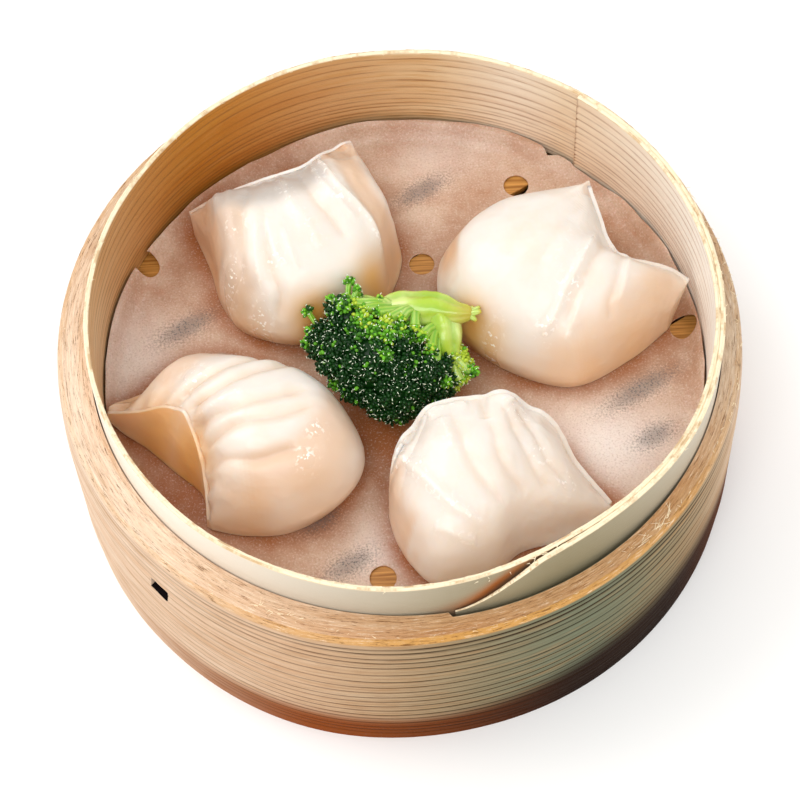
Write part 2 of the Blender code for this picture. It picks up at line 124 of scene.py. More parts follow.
# Folds in each wrapper: plan points in mm, half width, and height, where a valley is below zero.
FOLDS = {
    "dumpling_1": (
        (((-22.8, 44), (-18.5, 32.3), (-14, 26.1), (-11, 21.8)), 1.6, -1.0),
        (((-17.5, 47), (-16, 43), (-12.6, 35.5), (-8.2, 30.8), (-4.9, 27), (-2.6, 22)), 1.1, 0.9),
        (((-19.5, 45), (-16.5, 37), (-12.5, 31), (-8.5, 26.5)), 1.0, 0.6),
        (((-27, 42.5), (-24, 32), (-20, 25), (-17, 19)), 1.8, 0.6),
        (((-33, 41), (-35.4, 29.6), (-35.2, 24.9), (-35.4, 20.4), (-35.8, 17.6), (-35.9, 13.8)), 1.4, -0.9),
        (((-30, 30), (-29.5, 18.6), (-28.8, 13.4), (-27.3, 9.8), (-28.4, 7.5)), 1.3, -0.9),
        (((-29.8, 28), (-28.9, 22.3), (-27.9, 18.6), (-26.8, 15.4)), 0.9, 0.5),
        (((-25.5, 24), (-23.8, 17.1), (-22.9, 14.7)), 0.9, 0.45),
        (((-32, 27), (-32.4, 19), (-31.5, 12)), 0.8, 0.35),
    ),
    "dumpling_2": (
        (((48, 22), (46, 17), (44.1, 13.3), (42.7, 10.4), (40.1, 6.4), (38.3, 3.8), (36.7, 0.4), (34.3, -2.4),
          (32.2, -3.4)), 1.1, 0.8),
        (((50, 21), (48.6, 16), (46.3, 12), (44.5, 8.4), (42, 4), (40, 1), (38, -3)), 1.5, -0.8),
        (((54, 17), (52, 9.4), (51, 6), (49.1, 1.7), (49.5, -1.5)), 1.2, -0.6),
        (((55.5, 17), (53.6, 10), (52.8, 6.5), (51, 2)), 0.9, 0.4),
        (((43, 5), (41.3, 0.1), (39.5, -3.2), (37.9, -5.7)), 1.1, 0.45),
        (((46, 32), (38, 28), (30, 20), (26, 12)), 2.6, -0.4),
        (((46, 29), (40, 21), (34, 12), (30, 5)), 2.2, -0.35),
        (((47, 28), (43, 21), (39, 15), (36, 9)), 2.0, 0.35),
    ),
    "dumpling_3": (
        (((-50, -17), (-48.1, -14.6), (-42.6, -12.1), (-36.5, -8.8), (-30, -5)), 1.3, -1.1),
        (((-49, -20.4), (-45, -19.1), (-38.6, -16.1), (-30.3, -11.7), (-25, -8)), 1.3, -1.3),
        (((-48, -24), (-44.4, -23.7), (-37.1, -23.3), (-28.9, -20.9), (-20.7, -17.7)), 1.4, -1.4),
        (((-47, -29), (-42.9, -28.6), (-36.5, -27.2), (-27.5, -26.1), (-19, -22)), 1.4, -1.4),
        (((-46, -33), (-42.2, -33.5), (-34, -35.8), (-27.8, -34.5), (-23.3, -33.3)), 1.3, -1.1),
        (((-47, -26.5), (-42, -26), (-35, -25)), 1.6, 0.7),
        (((-47.5, -22), (-42, -21.2), (-35, -19)), 1.6, 0.7),
    ),
    "dumpling_4": (
        (((0, -30.5), (-2, -34), (-1.6, -38)), 2.4, 0.8),
        (((-1, -34), (0.6, -37.4), (3.1, -41.4), (7.3, -47.2), (10.8, -50.7), (15.7, -53.2)), 1.3, 1.0),
        (((2.6, -26), (2.1, -29.5), (0.6, -33.3)), 1.5, -0.5),
        (((5, -26), (9, -24.5), (15, -24.2)), 2.0, 0.8),
        (((17.6, -22), (18, -26), (18.4, -30)), 1.3, -0.8),
        (((19, -21.5), (22.5, -22), (25.4, -24)), 2.0, 1.3),
        (((10, -24), (12.4, -34.5), (13.7, -39.4), (15.6, -43.2), (19, -47), (22.1, -49)), 1.6, -0.85),
        (((8.5, -28), (9.6, -33), (11, -38)), 1.5, 0.6),
        (((18.4, -30), (19.9, -33), (20.4, -37.2), (21.6, -40.2), (24.5, -43.6), (26.8, -45.2)), 1.4, -0.6),
        (((22, -26), (23.8, -28), (24.8, -31.7), (27.2, -36.7), (29.9, -41.4), (33.8, -42.5)), 1.3, -0.6),
        (((26, -25), (27, -27.6), (29.8, -32.3), (32.4, -37.6), (36.9, -40.3)), 1.2, -0.5),
        (((5.3, -53.7), (10.5, -55.7), (14.9, -56.3)), 1.0, 0.5),
    ),
}
# Fine gathers along the pinched seam: how many, and how high.
GATHERS = {"dumpling_1": (13, 0.18), "dumpling_2": (7, 0.08), "dumpling_3": (9, 0.35), "dumpling_4": (9, 0.12)}

# Waves in the top of a seam: place along it from 0 to 1, half width, and height.
WAVES = {"dumpling_4": ((0.045, 0.04, 3.4), (0.11, 0.03, -1.6), (0.2, 0.05, 0.6), (0.44, 0.03, -0.9), (0.53, 0.05, 1.3),
                        (0.64, 0.04, -1.8)),
         "dumpling_3": ((0.3, 0.04, 0.8), (0.42, 0.04, -0.8), (0.5, 0.04, 0.8), (0.6, 0.04, -0.6)),
         "dumpling_1": ((0.84, 0.06, -1.6),), "dumpling_2": ((0.42, 0.04, -0.5), (0.5, 0.04, 0.5))}

# Where a wrapper is a single thin film with no filling under it: plan points, half width, strength, and step down.
FILMS = {
    "dumpling_1": (
        (((-49, 42), (-46.6, 36), (-45.2, 31), (-43.6, 24.7), (-42.8, 19)), 3.4, 0.9, 0.9),
        (((-38.5, 36), (-39.5, 28), (-39, 18), (-34, 10)), 4.0, 0.6, 0.0),
        (((-14, 54), (-11.5, 49), (-9.2, 42), (-5.6, 34.8), (-1.6, 30), (0.6, 24), (0.4, 18)), 3.3, 0.6, 1.2),
        (((-14, 53), (-11, 47)), 5, 0.95, 0.0),
    ),
    "dumpling_2": (
        (((45, 38), (34, 36.5), (22, 33), (13.6, 25), (12.6, 14)), 2.2, 0.9, 0.4),
        (((68, 12), (61, 5), (52, -3), (40, -8)), 6.5, 0.4, 0.3),
        (((47, 38), (48.5, 32)), 3, 0.4, 0.3),
    ),
    "dumpling_3": (
        (((-38, 7), (-46, 4.5), (-53, 2), (-59, -2), (-64, -6.5), (-69, -12)), 4.8, 0.9, 3.0),
        (((-38, -39), (-24, -36), (-15, -26), (-12.6, -14)), 5, 0.55, 0.3),
        (((-57, -10), (-51, -6), (-45, -2), (-38, 1)), 4.5, 0.5, 0.0),
        (((-46, -20), (-47, -30), (-46, -40)), 1.6, 0.3, 0.2),
    ),
    "dumpling_4": (
        (((28.5, -26), (35, -28.5), (40, -35), (46, -40)), 1.6, 0.1, 0.2),
        (((-3.5, -35), (-5, -42), (-4, -49), (0, -54)), 4.2, 0.7, 0.1),
    ),
}
# Where two layers are pinched into one and look grey.
VEILS = {
    "dumpling_1": ((((-45, 37), (-36.5, 36.8), (-29, 37.6), (-22.5, 40.5), (-16, 44.5)), 6, 0.85),
                   (((-39, 35), (-39.5, 27), (-38.5, 18), (-33, 10)), 3.4, 0.35), (((-13, 52), (-11, 46)), 4, 0.4)),
    "dumpling_2": ((((47.5, 36), (49, 28), (51, 22)), 2.2, 0.3),),
    "dumpling_3": ((((-45.5, -38), (-46, -28), (-49, -20)), 1.8, 0.3),),
    "dumpling_4": (),
}

# How peach the lower slopes are painted, as shade where a wrapper curves in under its filling.
LOW_TONE = {"dumpling_1": 0.8, "dumpling_2": 0.6, "dumpling_3": 0.4, "dumpling_4": 0}

# Where the filling or the damp shows amber through each wrapper, brightened as a painted glow of light passing through:
# plan point, radius, strength.
WARM = {
    "dumpling_1": ((-5.5, 16, 6.5, 0.85), (-19, 7, 6.5, 1.0), (-38, 8, 7, 0.3)),
    "dumpling_2": ((16.8, 3.3, 6, 0.9), (20, -1, 5, 0.6), (56, -2, 9, 0.3), (40, -8, 8, 0.3), (58, 8, 7, 0.25)),
    "dumpling_3": ((-58, -20, 8, 0.7), (-50, -28, 8, 0.8), (-20, -36, 9, 0.35), (-36, -42, 6, 0.3)),
    "dumpling_4": ((14, -38, 5, 0.3), (18.5, -44, 5, 0.3), (21, -36, 4, 0.2), (10.5, -31, 3, 0.2)),
}
# Wet spots that shine: plan point and radius.
WET = {
    "dumpling_1": ((-36.9, 27, 2.2), (-38.5, 16.1, 2.6), (-32.4, 7.9, 2.4), (-12, 33, 2), (-28, 18, 2.4)),
    "dumpling_2": ((21.9, -1, 2), (40, 5, 2.4), (34, -2.5, 2)),
    "dumpling_3": ((-19.9, -28.6, 2), (-22.3, -35, 2.2), (-47, -12, 3)),
    "dumpling_4": ((2, -39, 2), (30, -36, 2), (36, -40, 2), (26, -27, 2)),
}

# Broccoli lobes as (x, y, height of the centre, radius).
FLORET_LOBES = ((-6.5, -4, 12.2, 11.8), (-16, 0, 13, 5.6), (-12, 3.5, 17.5, 5.4), (-4.5, 3.5, 17, 7.4),
                (-12.5, -5, 13, 7), (-1.5, -11, 9.4, 8.4), (5.5, -8.5, 9.8, 7.4))
SIDE_LOBE = (11.5, -5, 7.4, 5.8)
# The edge of its head towards the stalk: x, and how far up and back the head reaches there.
FLORET_EDGE = ((-22, -13, -12, -9.8, -7.6, -4.6, -1.9, 0.9, 3.8, 6.7, 9.3, 11.4, 14),
               (26, 24, 16.1, 14.1, 12.3, 11.4, 9.7, 10.2, 8.2, 5.7, 5, 5.5, 8))
# Tips of the stalklets that fan into the head, their roots, and the tips of loose sprigs.
FLORET_FAN = ((-12.1, 7.5, 19.5), (-9.8, 5.6, 20.2), (-7.6, 3.6, 20.6), (-4.6, 2.6, 20.8), (-1.9, 0.9, 20.6),
              (0.9, 1.2, 20.2), (3.8, -1.0, 19.4), (5.6, -2.8, 18.4), (7.4, -5, 16.5), (8.4, -7.6, 13.6), (-8.5, 9, 17),
              (-4, 6.5, 19.5), (15.5, -7.6, 10), (13.5, -9.6, 8.5))
FAN_ROOTS = ((0.5, 5, 17), (4, 4, 17.5), (9.6, 1, 15.5), (11.2, -4, 11))
SPRIGS = ((-11, 11.6, 20.2), (-9.2, 9.2, 20.6), (-15.5, 7.6, 19.6), (-20.9, 6.4, 16.4), (-20.7, 2.2, 14.4),
          (-21.6, -0.2, 13), (16.9, -9, 11))


# Shapes ---------------------------------------------------------------------------------------------------------

def ease(t):
    t = np.clip(t, 0, 1)
    return t * t * (3 - 2 * t)


def curve(points, t):
    """Points at t, from 0 to 1, on a smooth curve through points that are evenly spaced in t."""
    p = np.asarray(points, float).reshape(len(points), -1)
    last = len(p) - 1
    place = np.clip(t, 0, 1) * last
    i = np.minimum(place.astype(int), last - 1)
    return between(*(p[np.clip(i + k, 0, last)] for k in (-1, 0, 1, 2)), (place - i)[:, None])


def between(a, b, c, d, f):
    """Points on a smooth curve from b to c, whose neighbours are a and d, after a share f of the way."""
    return 0.5 * (2 * b + (c - a) * f + (2 * a - 5 * b + 4 * c - d) * f ** 2 + (3 * b - a - 3 * c + d) * f ** 3)


def parts(v, stations):
    """How far v has come through each stretch between stations, from 0 to 1."""
    return [np.clip((v - a) / (b - a), 0, 1) for a, b in zip(stations, stations[1:])]


LATTICE = np.random.default_rng(5).uniform(-1, 1, (32, 32, 32))


def rough(points, size):
    """Smooth random bumps between -1 and 1, about size apart."""
    place = points / size
    cell = np.floor(place).astype(int)
    f = place - cell
    f = f * f * (3 - 2 * f)
    total = np.zeros(len(points))
    for corner in np.ndindex(2, 2, 2):
        weight = np.prod(np.where(corner, f, 1 - f), axis=1)
        total += weight * LATTICE[tuple(((cell + corner) % 32).T)]
    return total


def bumps(x, y=0, z=0):
    """Rough bumps by three coordinates, about 1 apart."""
    return rough(np.stack(np.broadcast_arrays(x, y, z), axis=1), 1.0)


def spot(x, y, centre_x, centre_y, reach_x, reach_y, power=1):
    """1 at a centre in plan, fading out at its two reaches."""
    return np.exp(-(((x - centre_x) / reach_x) ** 2 + ((y - centre_y) / reach_y) ** 2) ** power)


def spiral(count, share, start=0):
    """Directions spread evenly over a ball, from its top down through a share of its radius."""
    rise = 1 - share * (np.arange(count) + 0.5) / count
    turn = np.arange(count) * GOLDEN_ANGLE + start
    flat = np.sqrt(1 - rise ** 2)
    return np.stack((flat * np.cos(turn), flat * np.sin(turn), rise), axis=1)


def polar(degrees, radius, height, centre=(0, 0)):
    """Points at an azimuth, radius and height round a centre."""
    a = np.radians(degrees)
    return np.stack((centre[0] + radius * np.cos(a), centre[1] + radius * np.sin(a), height + 0 * a), axis=1)


def outward(points, columns, rows):
    """Unit normals of a grid of points."""
    grid = points.reshape(rows + 1, columns + 1, 3)
    normal = np.cross(np.gradient(grid, axis=1), np.gradient(grid, axis=0)).reshape(-1, 3)
    return normal / np.maximum(np.linalg.norm(normal, axis=1, keepdims=True), 1e-9)


def merge_doubles():
    """Merges the active piece's doubled points."""
    bpy.ops.object.mode_set(mode="EDIT")
    bpy.ops.mesh.select_all(action="SELECT")
    bpy.ops.mesh.remove_doubles(threshold=1e-6)
    bpy.ops.object.mode_set(mode="OBJECT")


def close_up():
    """Merges the active piece's doubles, fills its open ends and turns its faces outwards."""
    merge_doubles()
    bpy.ops.object.mode_set(mode="EDIT")
    bpy.ops.mesh.select_all(action="SELECT")
    bpy.ops.mesh.fill_holes(sides=0)
    bpy.ops.mesh.select_all(action="SELECT")
    bpy.ops.mesh.normals_make_consistent(inside=False)
    bpy.ops.object.mode_set(mode="OBJECT")


def modify(piece, kind, **settings):
    """Adds a modifier with its settings to the active piece, and applies it."""
    added = piece.modifiers.new(kind.lower(), kind)
    for key, value in settings.items():
        setattr(added, key, value)
    bpy.ops.object.modifier_apply(modifier=added.name)


def cut(piece, tool):
    """Cuts a closed tool out of a closed piece, and removes the tool."""
    bpy.context.view_layer.objects.active = piece
    bpy.ops.object.select_all(action="DESELECT")
    piece.select_set(True)
    close_up()
    modify(piece, "BOOLEAN", object=tool, operation="DIFFERENCE", solver="EXACT")
    bpy.data.objects.remove(tool)


def finish_piece(piece, nodes, material, angle):
    """Closes a piece, smooths it up to an angle, gives it its material and ties it to the frame."""
    close_up()
    bpy.ops.object.shade_smooth_by_angle(angle=math.radians(angle))
    piece.data.materials.clear()
    piece.data.materials.append(material)
    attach(piece, "root")
    if nodes:
        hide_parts(*nodes)
    piece.select_set(False)


def laid_grid(name, columns, rows, shape):
    """A flat grid of faces laid over a shape. shape(u, v) gives points in mm and the marks to paint on them."""
    bpy.ops.mesh.primitive_grid_add(x_subdivisions=columns, y_subdivisions=rows, size=1)
    piece = bpy.context.object
    piece.name = piece.data.name = name
    flat = np.empty(len(piece.data.vertices) * 3)
    piece.data.vertices.foreach_get("co", flat)
    flat = flat.reshape(-1, 3) + 0.5
    points, marks = shape(flat[:, 0], flat[:, 1])
    piece.data.vertices.foreach_set("co", (points * MM).ravel())
    for mark, values in marks.items():
        paint(piece, mark, values)
    piece.data.update()
    return piece


def paint(piece, mark, values):
    """Stores a number or a vector at each point, which a material reads by name."""
    vector = values.ndim == 2
    made = piece.data.attributes.new(mark, "FLOAT_VECTOR" if vector else "FLOAT", "POINT")
    made.data.foreach_set("vector" if vector else "value", values.astype(np.float32).ravel())


def strewn(name, base, places, marks, height=0):
    """One mesh of many copies of a small base piece, which is removed. places are 4 by 4 matrices in mm over height."""
    points = np.empty(len(base.data.vertices) * 3)
    base.data.vertices.foreach_get("co", points)
    points = np.c_[points.reshape(-1, 3), np.ones(len(base.data.vertices))]
    faces = np.array([tuple(f.vertices) for f in base.data.polygons])
    bpy.data.objects.remove(base)
    places = np.array(places)
    places[:, 2, 3] += height
    many = np.einsum("nij,pj->npi", places, points)[..., :3] * MM
    count = len(points)
    all_faces = (faces[None] + (np.arange(len(places)) * count)[:, None, None]).reshape(-1, faces.shape[1])
    mesh = bpy.data.meshes.new(name)
    mesh.from_pydata(many.reshape(-1, 3), [], all_faces)
    piece = bpy.data.objects.new(name, mesh)
    bpy.context.scene.collection.objects.link(piece)
    for mark, values in marks.items():
        paint(piece, mark, np.repeat(values, count))
    bpy.context.view_layer.objects.active = piece
    piece.select_set(True)
    return piece


def along(direction, place, size, turn=0.0):
    """Matrix that stands a piece on place with its Z along direction."""
    turned = Vector(direction).to_track_quat("Z", "Y").to_matrix().to_4x4()
    spin = Matrix.Rotation(turn, 4, "Z")
    scale = Matrix.Diagonal((*(size if hasattr(size, "__len__") else (size,) * 3), 1))
    return np.array(Matrix.Translation(Vector(place)) @ turned @ spin @ scale)


# Materials ------------------------------------------------------------------------------------------------------

def linear(code):
    """An sRGB hex value as linear RGBA."""
    channels = [int(code[i:i + 2], 16) / 255 for i in (0, 2, 4)]
    return (*(c / 12.92 if c <= 0.04045 else ((c + 0.055) / 1.055) ** 2.4 for c in channels), 1)


def node(tree, kind, links=None, **settings):
    """Adds a node with its settings. links maps a socket to a value, a hex colour, a node, or (node, output)."""
    made = tree.nodes.new("ShaderNode" + kind)
    for key, value in settings.items():
        setattr(made, key, value)
    for socket, value in (links or {}).items():
        if isinstance(value, bpy.types.Node):
            value = next(o for o in value.outputs if o.enabled)
        elif isinstance(value, tuple) and isinstance(value[0], bpy.types.Node):
            value = value[0].outputs[value[1]]
        if isinstance(value, bpy.types.NodeSocket):
            tree.links.new(value, made.inputs[socket])
        else:
            made.inputs[socket].default_value = linear(value) if isinstance(value, str) else value
    return made


def surface(name, noises=(), ranges=(), joins=(), colours=(), relief=(), gloss=None, grain=False, mapping=None,
            **constants):
    """A material, with constants on its shader's own sockets and patterns that are made by name.

    A noise is (name, scale, detail, roughness), along the painted grain or by Object coordinates. A range is (name,
    source, from, to, share at from, share at to). A join is (name, operation, one source, the other), kept between 0
    and 1. A source that is no pattern is a mark painted on the piece. A colour is (name, under, layer, layer...), and a
    layer is (share, colour) or (share, colour, blend type). The relief is (source, source..., depth in mm, strength).
    """
    material = bpy.data.materials.new(name)
    material.use_nodes = True
    tree = material.node_tree
    shader = tree.nodes["Principled BSDF"]
    for socket, value in constants.items():
        shader.inputs[socket.replace("_", " ")].default_value = value
    made = {}

    def read(source):
        if source not in made:
            mark = node(tree, "Attribute", attribute_name=source)
            made[source] = mark.outputs["Vector" if source == "grain" else "Fac"]
        return made[source]

    if noises:
        place = read("grain") if grain else (node(tree, "TexCoord"), "Object")
    if mapping:
        place = node(tree, "Mapping", {"Vector": place, **mapping})
    for key, scale, detail, roughness in noises:
        made[key] = node(tree, "TexNoise", {"Vector": place, "Scale": scale, "Detail": detail, "Roughness": roughness})
    for key, source, first, last, low, high in ranges:
        made[key] = node(tree, "MapRange", {"Value": read(source), "From Min": first, "From Max": last, "To Min": low,
                                            "To Max": high})
    for key, operation, one, other in joins:
        made[key] = node(tree, "Math", {0: read(one), 1: read(other)}, operation=operation, use_clamp=True)
    for key, colour, *layers in colours:
        for share, over, *blend in layers:
            colour = node(tree, "Mix", {0: read(share), 6: colour, 7: made.get(over, over)}, data_type="RGBA",
                          blend_type=blend[0] if blend else "MIX")
        made[key] = colour
    if colours:
        tree.links.new(made["base"].outputs[2], shader.inputs["Base Color"])
    if relief:
        *sources, depth, strength = relief
        height = made[sources[0]]
        for source in sources[1:]:
            height = node(tree, "Math", {0: height, 1: made[source]}, operation="ADD")
        bump = node(tree, "Bump", {"Strength": strength, "Distance": depth * MM, "Height": height})
        tree.links.new(bump.outputs[0], shader.inputs["Normal"])
    if gloss:
        tree.links.new(made[gloss].outputs[0], shader.inputs["Roughness"])
    return material


# Thick split bamboo, bent while green and dried bare: straight fibres, dark grain lines, dull satin. It is paler on the
# left and the right, partly its own tone and partly painted light, and green grey where the skin was only shaved. Its
# foot is browned by the steam and darkened further by painted shade, near black at the front right, and the mortise is
# painted near black inside as shade. Its grain runs in mm up the wall and is squeezed about 14 times along it, so that
# fibres draw out. Dashes of torn dark fibre lie on the ledge.
HOOP_BAMBOO = surface(
    "bent_bamboo_hoop", grain=True, Roughness=0.65, Specular_IOR_Level=0.06,
    noises=(("fibres", 2.6, 4, 0.65), ("streaks", 0.75, 3, 0.6), ("broad", 0.2, 2, 0.5), ("dashes", 3.4, 5, 0.8)),
    ranges=(("tone", "broad", 0.3, 0.7, 0, 0.5), ("faint", "streaks", 0.5, 0.68, 0, 0.4),
            ("fine", "fibres", 0.45, 0.7, 0, 0.35), ("fade", "streaks", 0.32, 0.58, 0.6, 1),
            ("deep", "ripe_and_shade", 0, 1, 0.6, 1.6), ("torn", "dashes", 0.55, 0.64, 0, 0.85),
            ("bright", "dashes", 0.44, 0.36, 0, 0.6)),
    joins=(("sharp", "MULTIPLY", "line", "line"), ("sharp", "MULTIPLY", "sharp", "fade"),
           ("sharp", "MULTIPLY", "sharp", "deep"), ("torn", "MULTIPLY", "torn", "ledge"),
           ("bright", "MULTIPLY", "bright", "ledge")),
    colours=(("foot_stain_and_shade", "8f4716", ("painted_foot_shade", "200d03")),
             ("base", "f1dcc6", ("ripe_and_shade", "c9a074"), ("tone", "e0b98e", "MULTIPLY"), ("green", "757a62"),
              ("faint", "b98a58"), ("fine", "c79d70", "MULTIPLY"), ("edge", "d09a4e"), ("foot", "foot_stain_and_shade"),
              ("sharp", "2c1b0b"), ("bright", "f3e2c8"), ("torn", "6d4626"), ("slot_shade", "140d10"))),
    relief=("fibres", "dashes", 0.35, 0.6))

# Thin shaved bamboo strip: golden inside where the steam has stained it, and darker gold on the back left as painted
# shade, paler inside on the lit right as painted light, cream outside, frayed along the top, with painted shade at its
# slanted end.
RIM_BAMBOO = surface(
    "thin_bamboo_rim_strip", grain=True, Roughness=0.5, Specular_IOR_Level=0.35,
    noises=(("fibres", 2.6, 4, 0.65), ("streaks", 0.9, 3, 0.6), ("broad", 0.22, 2, 0.5)),
    ranges=(("tone", "broad", 0.35, 0.65, 0, 0.4), ("faint", "streaks", 0.5, 0.66, 0, 0.5),
            ("fade", "streaks", 0.35, 0.6, 0.2, 1), ("frayed", "fibres", 0.5, 0.62, 0, 0.6)),
    joins=(("sharp", "MULTIPLY", "line", "line"), ("sharp", "MULTIPLY", "sharp", "fade"),
           ("frayed", "MULTIPLY", "frayed", "top")),
    colours=(("ink", "7d4a20", ("pale", "ab7c4e")), ("outside", "f7ecdc", ("shaded", "93886a")),
             ("base", "f3dab0", ("gold_stain_and_shade", "c0812f"), ("tone", "e9c592", "MULTIPLY"), ("faint", "c8914e"),
              ("pale", "fffaf0"), ("sharp", "ink"), ("skin", "outside"), ("painted_lap_shade", "b0652a"), ("top", "f2e2c0"),
              ("frayed", "b3813f"))),
    relief=("fibres", 0.3, 0.5))

# Split bamboo slats, damp: golden brown with darker fibres, 0.5 mm wide and 15 mm long, along each slat.
SLAT_BAMBOO = surface(
    "damp_bamboo_slat", Roughness=0.5,
    mapping={"Scale": (60, 2000, 2000), "Rotation": (0, 0, math.radians(-SLAT_ANGLE))},
    noises=(("fibres", 1, 4, 0.5),), ranges=(("share", "fibres", 0.35, 0.65, 0, 1),),
    colours=(("base", "d0964c", ("share", "96601f")),), relief=("fibres", 0.2, 0.4))

# Damp silicone parchment: thin, satin, mottled in clouds of 15 mm and specks of 0.5 mm, browned round the food by damp
# and by painted shade, and painted grey as shade where it bridges a gap.
PAPER = surface(
    "damp_parchment", Roughness=0.5, Subsurface_Weight=0.15, Subsurface_Scale=0.001,
    noises=(("speck", 2000, 3, 0.7), ("cloud", 65, 5, 0.6)),
    ranges=(("tone", "cloud", 0.35, 0.65, 0, 1), ("core", "gap", 0.45, 1, 0, 0.55), ("grit", "speck", 0.44, 0.6, 0, 1),
            ("fleck", "speck", 0.54, 0.68, 0, 0.38), ("light", "speck", 0.46, 0.32, 0, 0.28),
            ("drift", "cloud", 0.3, 0.6, 0.6, 1.1)),
    joins=(("gap_shade_grey", "MULTIPLY", "gap", "grit"), ("gap_shade_grey", "MAXIMUM", "core", "gap_shade_grey"),
           ("brown", "MULTIPLY", "damp_and_shade", "drift")),
    colours=(("base", "d1b59f", ("tone", "b18567"), ("bloom", "eadfd8"), ("brown", "9c5a29"), ("fleck", "94694c"),
              ("light", "f4e9df"), ("gap_shade_grey", "6c6663")),),
    relief=("cloud", "speck", 0.15, 0.35))

# Steamed wheat-starch wrapper: wet and milky, in clouds of 8 mm, peach as a thin film and as painted shade low down and
# in the valleys of its folds, lighter on ridges as a painted highlight, amber where the filling shows through and
# brightened there as a painted glow, with specks of glint 1 mm across on its wet spots.
WRAPPER = surface(
    "steamed_starch_wrapper", IOR=1.4, Specular_IOR_Level=0.4, Subsurface_Weight=0.7, Subsurface_Scale=0.003,
    Subsurface_Radius=(1.0, 0.78, 0.6), Coat_Weight=0.25, Coat_Roughness=0.15,
    noises=(("cloud", 120, 4, 0.5), ("speck", 800, 2, 0.5)),
    ranges=(("drift", "cloud", 0.3, 0.7, -0.12, 0.12), ("glint", "speck", 0.58, 0.63, 0, 0.9),
            ("gloss", "wet", 0, 1, 0.36, 0.14)),
    joins=(("peach", "ADD", "low", "drift"), ("glint", "MULTIPLY", "glint", "wet")),
    colours=(("base", "e3dad0", ("peach", "e9c49c"), ("film", "d8ae88"), ("veil", "b3a9a0"), ("amber_and_glow", "e0a44c"),
              ("glint", "fffaf4")),),
    relief=("cloud", "glint", 0.3, 0.25), gloss="gloss")

# Blanched broccoli buds: tight wet beads, near black green, with yellow green ones between, and tiny pale beads as
# painted glints.
BUDS = surface(
    "blanched_broccoli_buds", Roughness=0.28, Specular_IOR_Level=0.22,
    ranges=(("fresh", "shade", 0.15, 0.5, 0, 1), ("yellow", "shade", 0.5, 0.75, 0, 1),
            ("tip", "shade", 0.85, 0.95, 0, 1)),
    colours=(("base", "0a260b", ("shade", "2c8420"), ("fresh", "6fb82a"), ("yellow", "b4cc3e"), ("tip", "eef8dc")),))

# Blanched broccoli stalk: wet skin, yellow green, with darker fibres along it and a yellowed end.
STALK = surface(
    "blanched_broccoli_stalk", Roughness=0.25, Subsurface_Weight=0.3, Subsurface_Scale=0.002,
    Subsurface_Radius=(0.6, 1.0, 0.3), Coat_Weight=0.4, Coat_Roughness=0.08,
    noises=(("cloud", 170, 3, 0.5),), ranges=(("share", "cloud", 0.35, 0.65, 0, 1),),
    colours=(("base", "a8c436", ("share", "cadb7c"), ("leafy", "62a51e"), ("yellow", "b8a428")),),
    relief=("cloud", 0.3, 0.3))


# The hoops ------------------------------------------------------------------------------------------------------

def facing(degrees, centre, spread):
    """1 at an azimuth, easing to 0 at a spread to either side."""
    return ease(1 - np.abs((degrees - centre + 180) % 360 - 180) / spread)


def bow(degrees, centre, spread, depth):
    """How far a wall bows in or out."""
    return depth * facing(degrees, centre, spread)


def strip_radius(turned):
    """Inner face of the wound strip after so many degrees: first layer, the climb over it, second layer."""
    doubled = STRIP_TURN - 360
    return STRIP_RADIUS + ease((turned - doubled) / (360 - doubled)) * (STRIP_THICKNESS + 0.06)


def strip_top(turned):
    """Upper edge of the strip: level, then cut down in a slant at the outer end."""
    left = (STRIP_TURN - turned) / LAP_LENGTH
    foot = LEDGE_HEIGHT + 0.1
    return np.where(left >= 1, RIM_HEIGHT, foot + (RIM_HEIGHT - foot) * (0.4 * left + 0.6 * ease(left)))


